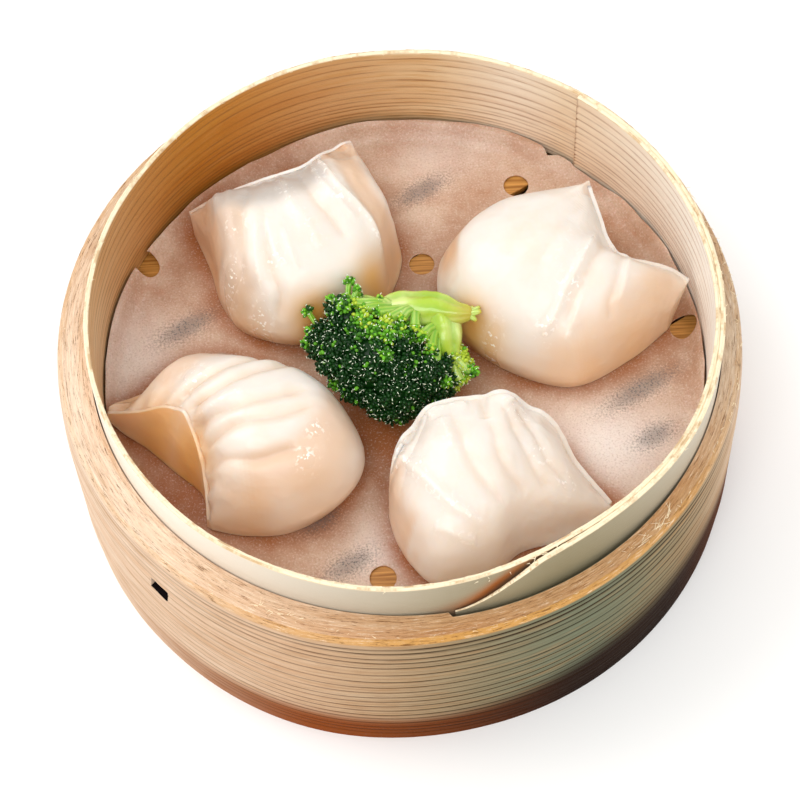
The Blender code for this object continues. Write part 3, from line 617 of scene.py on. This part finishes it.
def outer_band():
    """The thick outer hoop: grooved along its grain, with a worn, torn ledge."""
    columns, rows = 600, 150
    stations = np.array((0, 5, 87, 93, 129, 150)) / rows        # foot, wall, worn edge, ledge, inner wall
    worn, squeeze = 0.9, 5.5
    line_rows = (11, 15, 18, 22, 26, 29, 33, 37, 41, 45, 50, 55, 60, 66, 72, 76, 79, 82, 84)
    faint_rows = (13, 20, 24, 31, 35, 39, 43, 47, 53, 57, 63, 69, 74)
    ledge_rows = (97, 100, 106, 113)
    radii, heights = np.array(OUTER_PROFILE, float).T

    def shape(u, v):
        degrees = u * 360
        a = np.radians(degrees)
        back = (degrees - (STRIP_START - STRIP_TURN)) % 360
        core = polar(degrees, strip_radius(STRIP_TURN - back) + STRIP_THICKNESS + GAP, 0, RIM_CENTRE)
        core_radius = np.hypot(core[:, 0], core[:, 1])
        bulge = bow(degrees, *BULGE)
        part = parts(v, stations)
        rim = radii[-1] + bulge - worn
        edge = part[2] * math.pi / 2
        height = np.select((v <= stations[1], v <= stations[2], v <= stations[3], v <= stations[4]),
                           (0 * v, part[1] * (LEDGE_HEIGHT - worn), LEDGE_HEIGHT - worn + worn * np.sin(edge),
                            LEDGE_HEIGHT + 0 * v), LEDGE_HEIGHT * (1 - part[4]))
        wall_radius = np.interp(height, heights, radii) + bulge
        radius = np.select((v <= stations[1], v <= stations[2], v <= stations[3]),
                           (core_radius + (wall_radius - core_radius) * part[0], wall_radius,
                            rim + worn * np.cos(edge)), rim + (core_radius - rim) * part[3])
        on_ledge = (v > stations[2]) & (v <= stations[4])
        wall = (v > stations[1]) & (v <= stations[2])
        unrolled = np.where(v > stations[2], LEDGE_HEIGHT + (rim - radius), height)
        grain = polar(degrees, squeeze, unrolled)
        # Grain lines lie on their own rows of the grid, which wander up and down a little.
        row = np.rint(v * rows)
        line = np.where(np.isin(row, line_rows), 1.0, 0.42 * np.isin(row, faint_rows))
        fade = ease(np.minimum(height, LEDGE_HEIGHT - worn - height) / 6)
        wander = 1.2 * rough(polar(degrees, 1.7, row * 0.05), 1.0)
        height = np.where(wall, height + (wander + 1.5 * np.sin(a - math.radians(20))) * fade, height)
        radius = np.where(wall, radius - 0.17 * line + 0.08 * rough(grain, 1.7) - 0.08, radius)
        # The ledge is sawn across the fibres: torn furrows along it, and a ragged lip on the right.
        torn = rough(grain * (5, 5, 1), 0.45) + 0.7 * rough(grain * (2, 2, 1), 1.3)
        ragged = facing(degrees, 5, 60) * np.abs(rough(grain * (9, 9, 1), 0.8)) * ease((radius - rim + 2) / 2)
        height = np.where(on_ledge, height - 0.1 - 0.22 * np.abs(torn) - 0.9 * ragged, height)
        radius = np.where(on_ledge, radius - 0.5 * ragged, radius)
        line = np.where(on_ledge, np.isin(row, ledge_rows) * (0.25 + 0.6 * facing(degrees, 190, 60)), line)
        reach = 16 + 15 * facing(degrees, -32, 62) + 1.5 * rough(grain * (0.5, 0.5, 0), 1.0)
        front = np.maximum(ease(facing(degrees, -60, 110) * 1.6), 0.4 * facing(degrees, 90, 90))
        marks = {
            "grain": grain, "line": line * (wall | on_ledge) * (0.65 + 0.35 * facing(degrees, -50, 120)),
            "ledge": on_ledge * 1.0,
            "edge": 0.75 * ((v > stations[2] - 0.003) & (v < stations[3] + 0.012)) * (
                0.25 + 0.75 * facing(degrees, -78, 66)),
            # The bamboo's tone mixed with painted light and shade: paler on the lit left side and on the right, darker
            # brown between and on the ledge at the front right.
            "ripe_and_shade": 1 - np.maximum(facing(degrees, 197, 100), 0.95 * facing(degrees, 0, 50))
                    + 0.25 * on_ledge * facing(degrees, -55, 60),
            "green": np.where(on_ledge, 0.25 * facing(degrees, 0, 40),
                              facing(degrees, -62, 52) * ease((unrolled - 2) / 14)),
            # Painted shade together with a steam stain: the foot is browned up to a reach that is highest at the front
            # right, and painted near black at the front.
            "foot": ease(2 * (1 - height / reach)) * front * (v <= stations[2]),
            "painted_foot_shade": ease((degrees % 360 - 250) / 50) * ease((376 - degrees % 360) / 60),
        }
        return polar(degrees, radius, np.maximum(height, 0)), marks

    piece = laid_grid("outer_band", columns, rows, shape)
    cut_slot(piece)
    finish_piece(piece, ("outer_hoop",), HOOP_BAMBOO, 60)


def cut_slot(piece):
    """The mortise at the front left, with softened corners, painted near black inside as shade."""
    bpy.ops.mesh.primitive_cube_add(size=1)
    tool = bpy.context.object
    tool.data.transform(Matrix.Diagonal((*SLOT_SIZE, 1)))
    modify(tool, "BEVEL", width=0.7, segments=3)
    a = math.radians(SLOT_ANGLE)
    middle = Vector((SLOT_RADIUS * math.cos(a), SLOT_RADIUS * math.sin(a), SLOT_HEIGHT))
    place = Matrix.Translation(middle) @ Matrix.Rotation(a, 4, "Z")
    tool.data.transform(Matrix.Scale(MM, 4) @ place @ Matrix.Rotation(math.radians(SLOT_LEAN), 4, "X"))
    cut(piece, tool)
    inside = [float((f.center - middle * MM).length < 5.5 * MM and 75 * MM < f.center.xy.length < 79.6 * MM)
              for f in piece.data.polygons]
    slot_shade = piece.data.attributes.new("slot_shade", "FLOAT", "FACE")
    slot_shade.data.foreach_set("value", inside)


def rim_strip():
    """The thin strip wound round the inside, doubled on the right and cut on a slant at the front."""
    columns, rows = 900, 100
    stations = np.array((0, 46, 54, 94, 100)) / rows             # inner face, top edge, outer face, bottom
    margin = 0.004
    line_rows = (2, 4, 6, 8, 10, 13, 15, 18, 21, 25, 29, 34, 38, 42)
    low = SLAT_TOP + GAP

    def shape(u, v):
        turned = u * STRIP_TURN
        degrees = STRIP_START - turned
        top = strip_top(turned)
        part = parts(v, stations)
        height = low + (top - low) * (part[0] - part[2])
        shaved = 0.3 + 0.7 * ease((STRIP_TURN - turned) / LAP_LENGTH)
        radius = strip_radius(turned) + STRIP_THICKNESS * shaved * (part[1] - part[3])
        grain = np.stack((np.radians(turned) * 5, 9 * (v > 0.5), height), axis=1)
        on_top = (v > stations[1] - margin) & (v < stations[2] + margin)
        inside = v < stations[1] - margin
        outside = (v > stations[2] + margin) & (v < stations[3])
        # The edge is frayed: short tufts and a long swell.
        fray = np.abs(bumps(turned * 2.2, radius * 5)) + np.abs(bumps(turned * 0.6, radius * 9))
        swell = (0.35 * bumps(turned / 14) - 0.3) * ease((height - 58) / 5)
        height = height + np.where(on_top, 0.3 * np.sin(np.pi * part[1]) - 0.22 * fray, 0) + swell
        row = np.rint(v * rows)
        line = np.isin(row, line_rows) * 1.0
        wander = 0.9 * bumps(np.radians(turned) * 1.2, row * 0.05)
        fade = ease(np.minimum(height - low, top - height) / 4)
        height = np.minimum(np.where(on_top, height, height + wander * fade), RIM_TOP)
        radius = radius + 0.07 * line * inside + 0.04 * rough(grain, 1.5)
        # Past the lap the outer layer springs away from the inner one, clear of the ledge.
        spring = ease((turned - STRIP_TURN + 38) / 30) * np.clip((height - LEDGE_HEIGHT - 0.2) / 9, 0, 1)
        radius += 0.5 * spring
        # There the inner layer bows inwards at the top, and the outer one follows it only beyond the lap.
        follows = np.where(turned > 250, ease((degrees + 446) / 24), 1)
        radius -= bow(degrees, *RIM_BOW) * ease((height - 40) / 20) * follows
        # Painted shade lies on what is just above the slanted end, and on the inside of that end.
        above = height - strip_top(turned + 360)
        behind = outside * facing(turned, STRIP_TURN - 367, 15) * np.exp(-(above / 2.6) ** 2)
        lap = ease((turned - STRIP_TURN + 40) / 20) * inside + 1.1 * behind
        end = (u < 0.6 / columns) & inside
        marks = {
            "grain": grain, "line": np.maximum(0.85 * line * inside, end), "top": on_top * 1.0, "skin": outside * 1.0,
            # A steam stain with painted shade: darker gold on the inner back left, a little on the inner left.
            "gold_stain_and_shade": inside * np.maximum(facing(degrees, 130, 70), 0.3 * facing(degrees, 195, 60)),
            # Painted light on the strip's paler tone: the inner wall and its lines are paler on the lit right side.
            "pale": inside * np.maximum(facing(degrees, 0, 84), 0.5 * facing(degrees, 64, 20)), "painted_lap_shade": 0.85 * lap,
            "shaded": facing(degrees, -66, 78),
        }
        return polar(degrees, radius, height, RIM_CENTRE), marks

    piece = laid_grid("rim_strip", columns, rows, shape)
    finish_piece(piece, ("inner_hoop",), RIM_BAMBOO, 60)


def under_hoop():
    """The hoop inside the foot that carries the floor."""
    inner, outer, foot, top = LOWER_HOOP
    corners = np.array(((inner, foot), (outer, foot), (outer, top), (inner, top), (inner, foot)))
    stations = np.array((0, 0.1, 0.5, 0.6, 1))

    def shape(u, v):
        radius = np.interp(v, stations, corners[:, 0])
        height = np.interp(v, stations, corners[:, 1])
        grain = polar(u * 360, 5, height + 3 * radius)
        radius = radius + 0.08 * (rough(grain, 1.5) - 1)
        return polar(u * 360, radius, height, RIM_CENTRE), {"grain": grain, "ripe_and_shade": 0.8 + 0 * u}

    piece = laid_grid("under_hoop", 360, 60, shape)
    finish_piece(piece, ("lower_hoop",), HOOP_BAMBOO, 40)


def frayed_fibres():
    """Loose bamboo fibres: tufts on the ledge and rim, and whiskers at the lap. Each hangs from the edge it left."""
    rng = np.random.default_rng(3)
    bpy.ops.mesh.primitive_cone_add(vertices=5, radius1=1, radius2=0.25, depth=1, location=(0, 0, 0.5))
    fibre = bpy.context.object
    bpy.ops.object.transform_apply()
    bpy.ops.object.mode_set(mode="EDIT")
    bpy.ops.mesh.select_all(action="SELECT")
    bpy.ops.mesh.subdivide(number_cuts=2)
    bpy.ops.mesh.quads_convert_to_tris()
    bpy.ops.object.mode_set(mode="OBJECT")
    for point in fibre.data.vertices:
        point.co.x += 5 * point.co.z ** 2
    places = []
    # (azimuth, spread, radius, height, count, longest)
    beds = ((-46, 6, 77.5, 51.8, 30, 3.6), (-112, 5, 76.5, 51.8, 24, 2.4), (-66, 3, 72.4, 63.6, 10, 2.6),
            (8, 30, 79.0, 51.6, 40, 1.8), (-145, 50, 72.2, 63.6, 30, 0.9), (130, 60, 72.2, 63.6, 40, 0.9),
            (-30, 50, 73.4, 63.6, 40, 1.0), (-80, 70, 78.2, 51.8, 40, 1.2), (210, 50, 77.8, 51.8, 24, 1.0))
    for azimuth, spread, radius, height, count, longest in beds:
        for _ in range(count):
            a = math.radians(azimuth + spread * rng.uniform(-1, 1))
            turn = a + math.pi / 2 * (1 if rng.random() > 0.5 else -1) + rng.normal(0, 0.5)
            away = Vector((math.cos(turn), math.sin(turn), rng.uniform(-0.1, 0.25)))
            centre = RIM_CENTRE if height > 60 else (0, 0)
            out = radius - (bow(math.degrees(a), *RIM_BOW) if height > 60 else 0)
            root = (centre[0] + out * math.cos(a) + rng.normal(0, 0.2),
                    centre[1] + out * math.sin(a) + rng.normal(0, 0.2), height - 0.1)
            size = longest * rng.uniform(0.4, 1)
            places.append(along(away, root, (0.1, 0.1, size), rng.uniform(0, 6.3)))
    piece = strewn("frayed_fibres", fibre, places, {"top": np.ones(len(places))})
    for point in piece.data.vertices:
        point.co.z = min(point.co.z, RIM_TOP * MM)
    finish_piece(piece, (), RIM_BAMBOO, 60)


# The floor ------------------------------------------------------------------------------------------------------

def floor_pieces():
    """Slats and battens: each CAD bar copied, merged and softened along its split edges."""
    for name in [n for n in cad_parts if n.startswith(("slat_", "batten_"))]:
        piece = bpy.data.objects.new("bamboo_" + name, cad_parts[name].data.copy())
        bpy.context.scene.collection.objects.link(piece)
        bpy.context.view_layer.objects.active = piece
        piece.select_set(True)
        merge_doubles()
        modify(piece, "BEVEL", width=0.4 * MM, segments=2, limit_method="ANGLE")
        finish_piece(piece, (name,), SLAT_BAMBOO, 40)


def paper_rise(x, y):
    """How far the curled edge of the liner stands above its flat middle."""
    dx, dy = x - RIM_CENTRE[0], y - RIM_CENTRE[1]
    a = np.arctan2(dy, dx)
    part = np.clip((np.hypot(dx, dy) - PAPER_FLAT) / (PAPER_RADIUS - PAPER_FLAT), 0, 1)
    return PAPER_CURL * (1 + 0.25 * np.sin(5 * a) + 0.15 * np.cos(11 * a)) * part ** 2


def outline(name):
    """Points round the foot of a dumpling."""
    t = np.linspace(0, 1, 60)
    return np.concatenate((curve(DUMPLINGS[name]["belly"], t), curve(DUMPLINGS[name]["back"], t)))


def nearest(places, track):
    """Distance from each place in plan to a track of points, and which of the points is the nearest."""
    away = np.linalg.norm(places[:, None, :2] - np.asarray(track)[None, :, :2], axis=2)
    which = away.argmin(axis=1)
    return away[np.arange(len(places)), which], which


def slat_frame(x, y):
    """A point in plan, along the slats and across them."""
    lean = math.radians(SLAT_ANGLE)
    return (math.cos(lean) * x + math.sin(lean) * y,
            math.cos(lean) * (y - RIM_CENTRE[1]) - math.sin(lean) * (x - RIM_CENTRE[0]))


def paper_sheet():
    """The punched paper: curled at the wall, dished a little over the gaps between slats."""
    feet = np.concatenate([outline(name) for name in DUMPLINGS])
    # Where it bridges a gap and is painted grey as shade: plan point, half length.
    patches = ((-51.2, 14.4, 8.5), (7.6, 51, 8), (56.5, -9.2, 11), (-13.8, -51.3, 7), (58.6, -21.9, 6),
               (-20.3, -39.6, 6))
    # Pale places, dry paper, with a painted pool of light at the front middle: plan point, reaches, strength.
    blooms = ((48, -24, 16, 12, 0.8), (-62, 4, 9, 16, 0.64), (-4, -48, 9, 9, 0.8), (12, 62, 14, 8, 0.4))

    def shape(u, v):
        degrees = u * 360
        wall = strip_radius((STRIP_START - degrees) % 360) - GAP
        near = np.maximum(facing(degrees, 66, 26), 0.8 * facing(degrees, 190, 60))
        edge = PAPER_EDGE + np.maximum(wall - PAPER_EDGE, 0) * near - 0.2 * np.abs(rough(polar(degrees, 9, 0), 1.0))
        # The edge has come a little away from the wall at the right, in waves, with a notch torn in it.
        notch = np.exp(-(((degrees - 56.8) / 1.1) ** 2))
        edge = edge - facing(degrees, 36, 32) * (0.25 + 0.25 * np.sin(np.radians(degrees) * 26)) - 1.5 * notch
        flat = polar(degrees, edge * v ** 0.85, 0, RIM_CENTRE)
        x, y = flat[:, 0], flat[:, 1]
        lengthwise, crosswise = slat_frame(x, y)
        beside = (crosswise - SLAT_GAP_FIRST + SLAT_PITCH / 2) % SLAT_PITCH - SLAT_PITCH / 2
        rise = paper_rise(x, y)
        crease = 0.12 * rough(flat, 9.0) + 0.05 * rough(flat, 3.0)
        height = SLAT_TOP + GAP - 0.05 + rise + np.where(rise > 0, crease, 0.3 * crease) - 0.12 * np.exp(
            -(beside / 1.6) ** 2)
        gap = np.max([spot(lengthwise, crosswise, *slat_frame(px, py), size, GREY_WIDTH, 1.5)
                      for px, py, size in patches], axis=0)
        # Damp and painted shade brown it round the food, most of all under the broccoli and left of dumpling_3.
        damp_and_shade = 0.9 * np.exp(-(nearest(flat, feet)[0] / 3.8) ** 2)
        damp_and_shade += spot(x, y, -2, -8, 17, 17, 2) + 0.9 * spot(x, y, -6, -27, 8, 8)
        damp_and_shade = np.maximum(damp_and_shade, 0.85 * spot(x, y, -52, -32, 13, 14, 2))
        bloom = sum(strength * spot(x, y, *place) for *place, strength in blooms)
        marks = {"gap": gap, "damp_and_shade": np.clip(damp_and_shade, 0, 1), "bloom": np.clip(bloom, 0, 1)}
        return np.stack((x, y, height), axis=1), marks

    piece = laid_grid("punched_paper", 360, 100, shape)
    merge_doubles()
    if piece.data.polygons[0].normal.z < 0:
        piece.data.flip_normals()
    modify(piece, "SOLIDIFY", thickness=PAPER_THICKNESS * MM, offset=1)
    for x, y in PAPER_HOLES:
        bpy.ops.mesh.primitive_cylinder_add(vertices=40, radius=PAPER_HOLE * MM, depth=20 * MM,
                                            location=(x * MM, y * MM, SLAT_TOP * MM))
        tool = bpy.context.object
        bpy.ops.object.transform_apply()
        cut(piece, tool)
    finish_piece(piece, ("paper_liner",), PAPER, 60)


# The food -------------------------------------------------------------------------------------------------------

def along_line(places, line, width, flat=1.5):
    """1 on a line in plan, falling to 0 at about twice its half width, and fading at its ends."""
    t = np.linspace(0, 1, 10 * len(line))
    away, which = nearest(places, curve(line, t))
    ends = ease(np.minimum(t[which], 1 - t[which]) / 0.15)
    return np.exp(-(away / width) ** flat) * (0.2 + 0.8 * ends)


def strongest(shares, none):
    """The strongest of several shares at each point, or none."""
    return np.max([none, *shares], axis=0)


def dumpling(name):
    """A wrapper lofted from tip to tip: up the back, over the pinched seam, and down the pleated belly."""
    form = DUMPLINGS[name]
    columns, rows = 260, 180
    stations = (0, 0.22, 0.27, 0.87, 1)             # back, pinched lip, belly, underside
    thickness, lip_height = SEAMS[name]
    gathers, gather_height = GATHERS[name]

    def shape(u, v):
        seam, belly, back = (curve(form[key], u) for key in ("seam", "belly", "back"))
        crown, swell, side = (curve(form[key], u)[:, 0] for key in ("crown", "swell", "side"))
        for place, width, height in WAVES[name]:
            seam[:, 2] += height * np.exp(-((u - place) / width) ** 2)
        ahead = curve(form["seam"], u + 0.01) - curve(form["seam"], u - 0.01)
        crown = np.maximum(crown, seam[:, 2])
        side *= crown
        reach = 1 + swell
        ground = seam[:, :2]
        across = np.stack((ahead[:, 1], -ahead[:, 0]), axis=1)
        across /= np.linalg.norm(across, axis=1, keepdims=True)
        across *= np.sign(np.sum(across * (belly - back), axis=1))[:, None]
        half = across * (thickness / 2)
        lip = np.minimum(lip_height, 0.35 * seam[:, 2])
        root = seam[:, 2] - lip
        part = parts(v, stations)
        # Back, from its foot up to the root of the seam.
        rear = back + (ground - half - back) * part[0][:, None]
        rear_z = root * (part[0] + 0.07 * np.sin(np.pi * part[0]))
        # Lip, up one side, round the edge and down the other.
        turn = (part[1] - 0.5) * np.pi
        lip_xy = ground + half * np.sin(turn)[:, None]
        lip_z = root + lip * np.sqrt(np.maximum(np.cos(turn), 0))
        # Belly, through the points of its section, each as (share of the way out, height).
        middle, bend = 0.46, math.sqrt(0.5)
        section = np.stack([np.stack(np.broadcast_arrays(*point, u)[:2], axis=1) for point in (
            (0, root), (0.4 * middle, root + 0.75 * (crown - root)), (middle, crown),
            (middle + bend * (reach - middle), side + bend * (crown - side)), (reach, side), (1, 0))], axis=1)
        t = part[2]
        i = np.minimum((t * 5).astype(int), 4)
        every = np.arange(len(u))
        at = between(*(section[every, np.clip(i + k, 0, 5)] for k in (-1, 0, 1, 2)), (t * 5 - i)[:, None])
        front = ground + half * (1 - t)[:, None] + (belly - ground) * at[:, :1]
        under = belly + (back - belly) * part[3][:, None]
        which = np.digitize(v, stations[1:-1])
        z = np.choose(which, (rear_z, lip_z, np.maximum(at[:, 1], 0), 0 * u))
        points = np.column_stack((np.choose(which[:, None], (rear, lip_xy, front, under)), z))
        normal = outward(points, columns, rows)
        normal *= np.sign(normal[:, 2].mean())
        # Folds are pressed in along their lines in plan. A film lies a step below the filled part beside it.
        films = [(along_line(points, line, width, 4), strength, step) for line, width, strength, step in FILMS[name]]
        film = strongest([strength * share for share, strength, _ in films], 0 * u)
        veils = [strength * along_line(points, line, width, 4) for line, width, strength in VEILS[name]]
        press = sum(depth * along_line(points, line, width) for line, width, depth in FOLDS[name])
        press -= sum(step * share for share, _, step in films)
        tips = np.minimum(u, 1 - u)
        crimp = gather_height * np.cos(2 * np.pi * gathers * u) * np.exp(-(t / 0.22) ** 2) * ease(tips / 0.1)
        on_belly = which == 2
        press = (press * ease(t * 9 + 0.25) + crimp) * np.where(on_belly, ease((1 - t) * 5) * ease(tips / 0.09), 0)
        fine = 0.10 * rough(points, 3.0) + 0.05 * rough(points, 1.3)
        points = points + normal * (press + fine * (z > 0.6))[:, None]
        x, y = points[:, 0], points[:, 1]
        rise = paper_rise(x, y)
        above = np.maximum(points[:, 2], np.where(rise > 0, 1.2 * rise + 0.25, 0))
        # Painted shade and highlight: peach on the lower slopes and in fold valleys, lighter on fold ridges; the back
        # is peach all over.
        low = LOW_TONE[name] * ease((17 - above) / 17) + 0.3 * np.clip(-press, 0, 1) - 0.1 * np.clip(press, 0, 1)
        # A painted glow on the filling's amber, on the lower part of each wrapper.
        amber_and_glow = strongest([strength * spot(x, y, cx, cy, size, size) for cx, cy, size, strength in WARM[name]], 0 * u)
        wet = strongest([spot(x, y, cx, cy, size, size) for cx, cy, size in WET[name]], 0.7 * np.clip(press, 0, 1))
        marks = {"low": np.where(which < 1, 0.8, np.clip(low, 0, 1)), "film": on_belly * film,
                 "veil": on_belly * strongest(veils, 0 * u),
                 "amber_and_glow": amber_and_glow * ease((24 - above) / 10), "wet": wet}
        return np.stack((x, y, above + FOOD_BASE), axis=1), marks

    piece = laid_grid(name.replace("dumpling", "wrapped_dumpling"), columns, rows, shape)
    finish_piece(piece, (name,), WRAPPER, 70)


def stem(name, path, radii, leafy, yellow):
    """A stalk along a path, fluted along its length, with rounded ends."""
    def shape(u, v):
        centre = curve(path, u) + (0, 0, FOOD_BASE)
        ahead = curve(path, u + 0.02) - curve(path, u - 0.02)
        ahead /= np.linalg.norm(ahead, axis=1, keepdims=True)
        beside = np.cross(ahead, (0.1, 0.2, 1))
        beside /= np.linalg.norm(beside, axis=1, keepdims=True)
        above = np.cross(beside, ahead)
        a = v * 2 * np.pi
        radius = curve(radii, u)[:, 0] * np.sqrt(np.clip(np.minimum(u, 1 - u) / 0.06, 0.02, 1))
        radius = radius * (1 + 0.05 * np.cos(5 * a + 2 * u) + 0.03 * np.cos(9 * a))
        points = centre + (beside * np.cos(a)[:, None] + above * np.sin(a)[:, None]) * radius[:, None]
        points = points + (0.22 * rough(points, 1.6) + 0.6 * rough(points, 4.5))[:, None] * above
        return points, {"leafy": leafy + 0.25 * np.cos(7 * a), "yellow": yellow * ease((u - 0.6) / 0.4)}

    finish_piece(laid_grid(name, 60, 40, shape), (), STALK, 60)


def floret():
    """The broccoli: a stalk that forks, stalklets that fan into the head, and wet buds in knobs over it."""
    rng = np.random.default_rng(11)
    lobes = np.array((*FLORET_LOBES, SIDE_LOBE), float)
    lowest_knob, knob_area, knob_spacing, knob_inset, bare_core = 1.5, 5, 2.6, 1.5, 3
    lowest_bead, bead_length, glint_width = 0.6, (1.3, 1.8), 0.1
    edge_y, edge_z = 0.863, 0.506               # the direction in which the edge of the head is measured

    def bare(place):
        """How far a place is past the edge of the head, on the cut side that shows its stalklets."""
        return edge_y * place[1] + edge_z * place[2] - np.interp(place[0], *FLORET_EDGE)

    knobs = []
    for k, (*middle, size) in enumerate(lobes):
        for out in spiral(int(4 * math.pi * size ** 2 / knob_area), 2, k):
            place = middle + out * (size - knob_inset)
            buried = any(np.linalg.norm(place - other[:3]) < other[3] - 1.8 for j, other in enumerate(lobes) if j != k)
            if buried or place[2] < lowest_knob or out[2] < -0.75 or bare(place) > 0:
                continue
            if all(np.linalg.norm(place - knob[0]) > knob_spacing for knob in knobs):
                fresh = 1.2
                if k < len(lobes) - 1:
                    fall = 4.2 if place[0] < -3 else 2.6
                    fresh = 0.1 + 0.3 * (rng.random() > 0.93) + 0.75 * math.exp(-(bare(place) / fall) ** 2)
                knobs.append((place, out, rng.uniform(1.3, 1.9), fresh))
    # Stems as (path, radii, how leafy, how yellow): the stalk, its fork to the side head, ragged bits at its cut end.
    stems = [(((-5, 4.5, 14), (0, 5.6, 15.6), (5, 5.4, 16.2), (9.5, 4.6, 16.6), (14, 3.4, 17.4), (17.8, 3.2, 18)),
              (3.4, 4.2, 4.5, 4.1, 2.9, 1.3), 0.05, 0.9),
             (((9, 5.4, 16), (10.4, 1.6, 14.6), (11.2, -2.6, 11.6), (11.5, -6, 8.6)), (4.2, 4.3, 3.3, 2.4), 0.1, 0.3)]
    stems += [(((16, 3, 17.5), np.array(tip) * 0.5 + (8.2, 1.4, 9.2), tip), (0.9, 0.7, 0.35), 0.1, 1.0)
              for tip in ((19.2, 4.3, 18.6), (19.4, 2.6, 19.2), (18.2, 0.9, 17.4), (17.6, 4.9, 18.2))]
    # Stalklets that fan into the head, and loose sprigs that stand off it, each with a tuft of buds on its end.
    tufts = []
    for k, end in enumerate(np.array(FLORET_FAN, float)):
        start = np.array(FAN_ROOTS[min((k + 1) // 4, 3)], float)
        middle = (start + end) / 2 + rng.normal(0, 0.3, 3) + (0, 0, 0.6)
        stems.append(((start, middle, end), (1.9, 1.15, 1.35), 0.55 if k < 10 else 0.3, 0.0))
        tufts.append((start, end, 0.62))
    for end in np.array(SPRIGS, float):
        start = lobes[np.linalg.norm(lobes[:, :3] - end, axis=1).argmin(), :3]
        stems.append(((start, (start + end) / 2 + (0, 0, 0.5), end), (1.0, 0.75, 0.7), 0.7, 0.0))
        tufts.append((start, end, 0.4))
    for k, form in enumerate(stems):
        stem(f"broccoli_stalk_{k + 1}", *form)
    knobs += [(end, (end - start) / np.linalg.norm(end - start), rng.uniform(0.8, 1.1), fresh)
              for start, end, fresh in tufts]
    beads, shades = [], []
    for place, out, size, fresh in knobs:
        for direction in spiral(int(15 * size), 1.3):
            local = Vector(direction)
            local.rotate(Vector(out).to_track_quat("Z", "Y"))
            lean = local + Vector(rng.normal(0, 0.45, 3))
            bead = rng.uniform(0.36, 0.54)
            at = place + np.array(local) * size * rng.uniform(0.85, 1.2)
            if at[2] < lowest_bead:
                continue
            beads.append(along(lean, at, (bead, bead, bead * rng.uniform(*bead_length)), rng.uniform(0, 6)))
            shades.append(np.clip(fresh * rng.uniform(0.3, 1.4) + 0.25 * (rng.random() > 0.95), 0, 0.8))
            # About half the buds carry a tiny pale bead: a painted glint.
            if rng.random() > 0.45:
                tip = at + np.array(lean.normalized()) * bead * 1.3 + rng.normal(0, 0.15, 3)
                beads.append(along(rng.normal(0, 1, 3), tip, (glint_width, glint_width, rng.uniform(0.25, 0.55))))
                shades.append(1.0)
    # A dark core under the buds, with knobs of its own. One lobe has none, where the stalk shows.
    cores = [along((0, 0, 1), middle, size - 2.2) for k, (*middle, size) in enumerate(lobes) if k != bare_core]
    cores += [along(out, place, size * 0.85) for place, out, size, _ in knobs]
    tints = [0.08] * (len(lobes) - 2) + [0.7] + [0.6 * fresh for _, _, _, fresh in knobs]
    for name, fineness, places, marks, nodes in (("broccoli_buds", 1, beads, shades, ("broccoli",)),
                                                 ("broccoli_core", 3, cores, tints, ())):
        bpy.ops.mesh.primitive_ico_sphere_add(subdivisions=fineness, radius=1)
        piece = strewn(name, bpy.context.object, places, {"shade": np.array(marks)}, FOOD_BASE)
        finish_piece(piece, nodes, BUDS, 180)


# The studio -----------------------------------------------------------------------------------------------------

def studio():
    """A pale table, a soft light from the back left, weaker ones from the front and right, and the photo's camera."""
    bpy.ops.mesh.primitive_plane_add(size=4)
    table = bpy.context.object
    table.name = "pale_table"
    table.data.materials.append(surface("white_studio_paper", Roughness=0.9, Base_Color=linear("f7f6f4")))
    table.select_set(False)
    scene = bpy.context.scene
    world = bpy.data.worlds.new("studio")
    scene.world = world
    world.use_nodes = True
    background = world.node_tree.nodes["Background"]
    background.inputs["Color"].default_value = (1, 1, 1, 1)
    background.inputs["Strength"].default_value = 0.82
    for name, place, size, power in (("key", (-0.62, 0.26, 0.88), 0.65, 4.5), ("fill", (-0.1, -0.8, 1.15), 0.8, 7.0),
                                     ("side", (0.75, -0.45, 0.9), 0.6, 1.8)):
        light = bpy.data.lights.new(name, "AREA")
        light.size = size
        light.energy = power
        lamp = bpy.data.objects.new(name, light)
        scene.collection.objects.link(lamp)
        lamp.location = place
        lamp.rotation_euler = (Vector((0, 0, 0.04)) - Vector(place)).to_track_quat("-Z", "Y").to_euler()
    scene.view_settings.view_transform = "Standard"
    # The camera, fitted to the photo's ellipses: focal length, shift and distance for an 800 by 800 picture.
    side, focal, shift_x, shift_y, distance, elevation, roll = 800, 2485.28, 1.518, -11.763, 600, 59.62, -2.965
    e, r = math.radians(elevation), math.radians(roll)
    aim = Vector((0, 0, 25)) * MM
    eye = aim + Vector((0, -math.cos(e), math.sin(e))) * distance * MM
    ahead = (aim - eye).normalized()
    right = Vector((1, 0, 0))
    up = right.cross(ahead)
    right, up = right * math.cos(r) + up * math.sin(r), up * math.cos(r) - right * math.sin(r)
    camera = bpy.data.objects.new("camera", bpy.data.cameras.new("camera"))
    scene.collection.objects.link(camera)
    placed = Matrix((right, up, -ahead)).transposed().to_4x4()
    placed.translation = eye
    camera.matrix_world = placed
    camera.data.lens = focal * camera.data.sensor_width / side
    camera.data.shift_x = -shift_x / side
    camera.data.shift_y = shift_y / side
    camera.data.clip_start = 0.01
    scene.camera = camera


outer_band()
rim_strip()
under_hoop()
frayed_fibres()
floor_pieces()
paper_sheet()
for dumpling_name in DUMPLINGS:
    dumpling(dumpling_name)
floret()
studio()
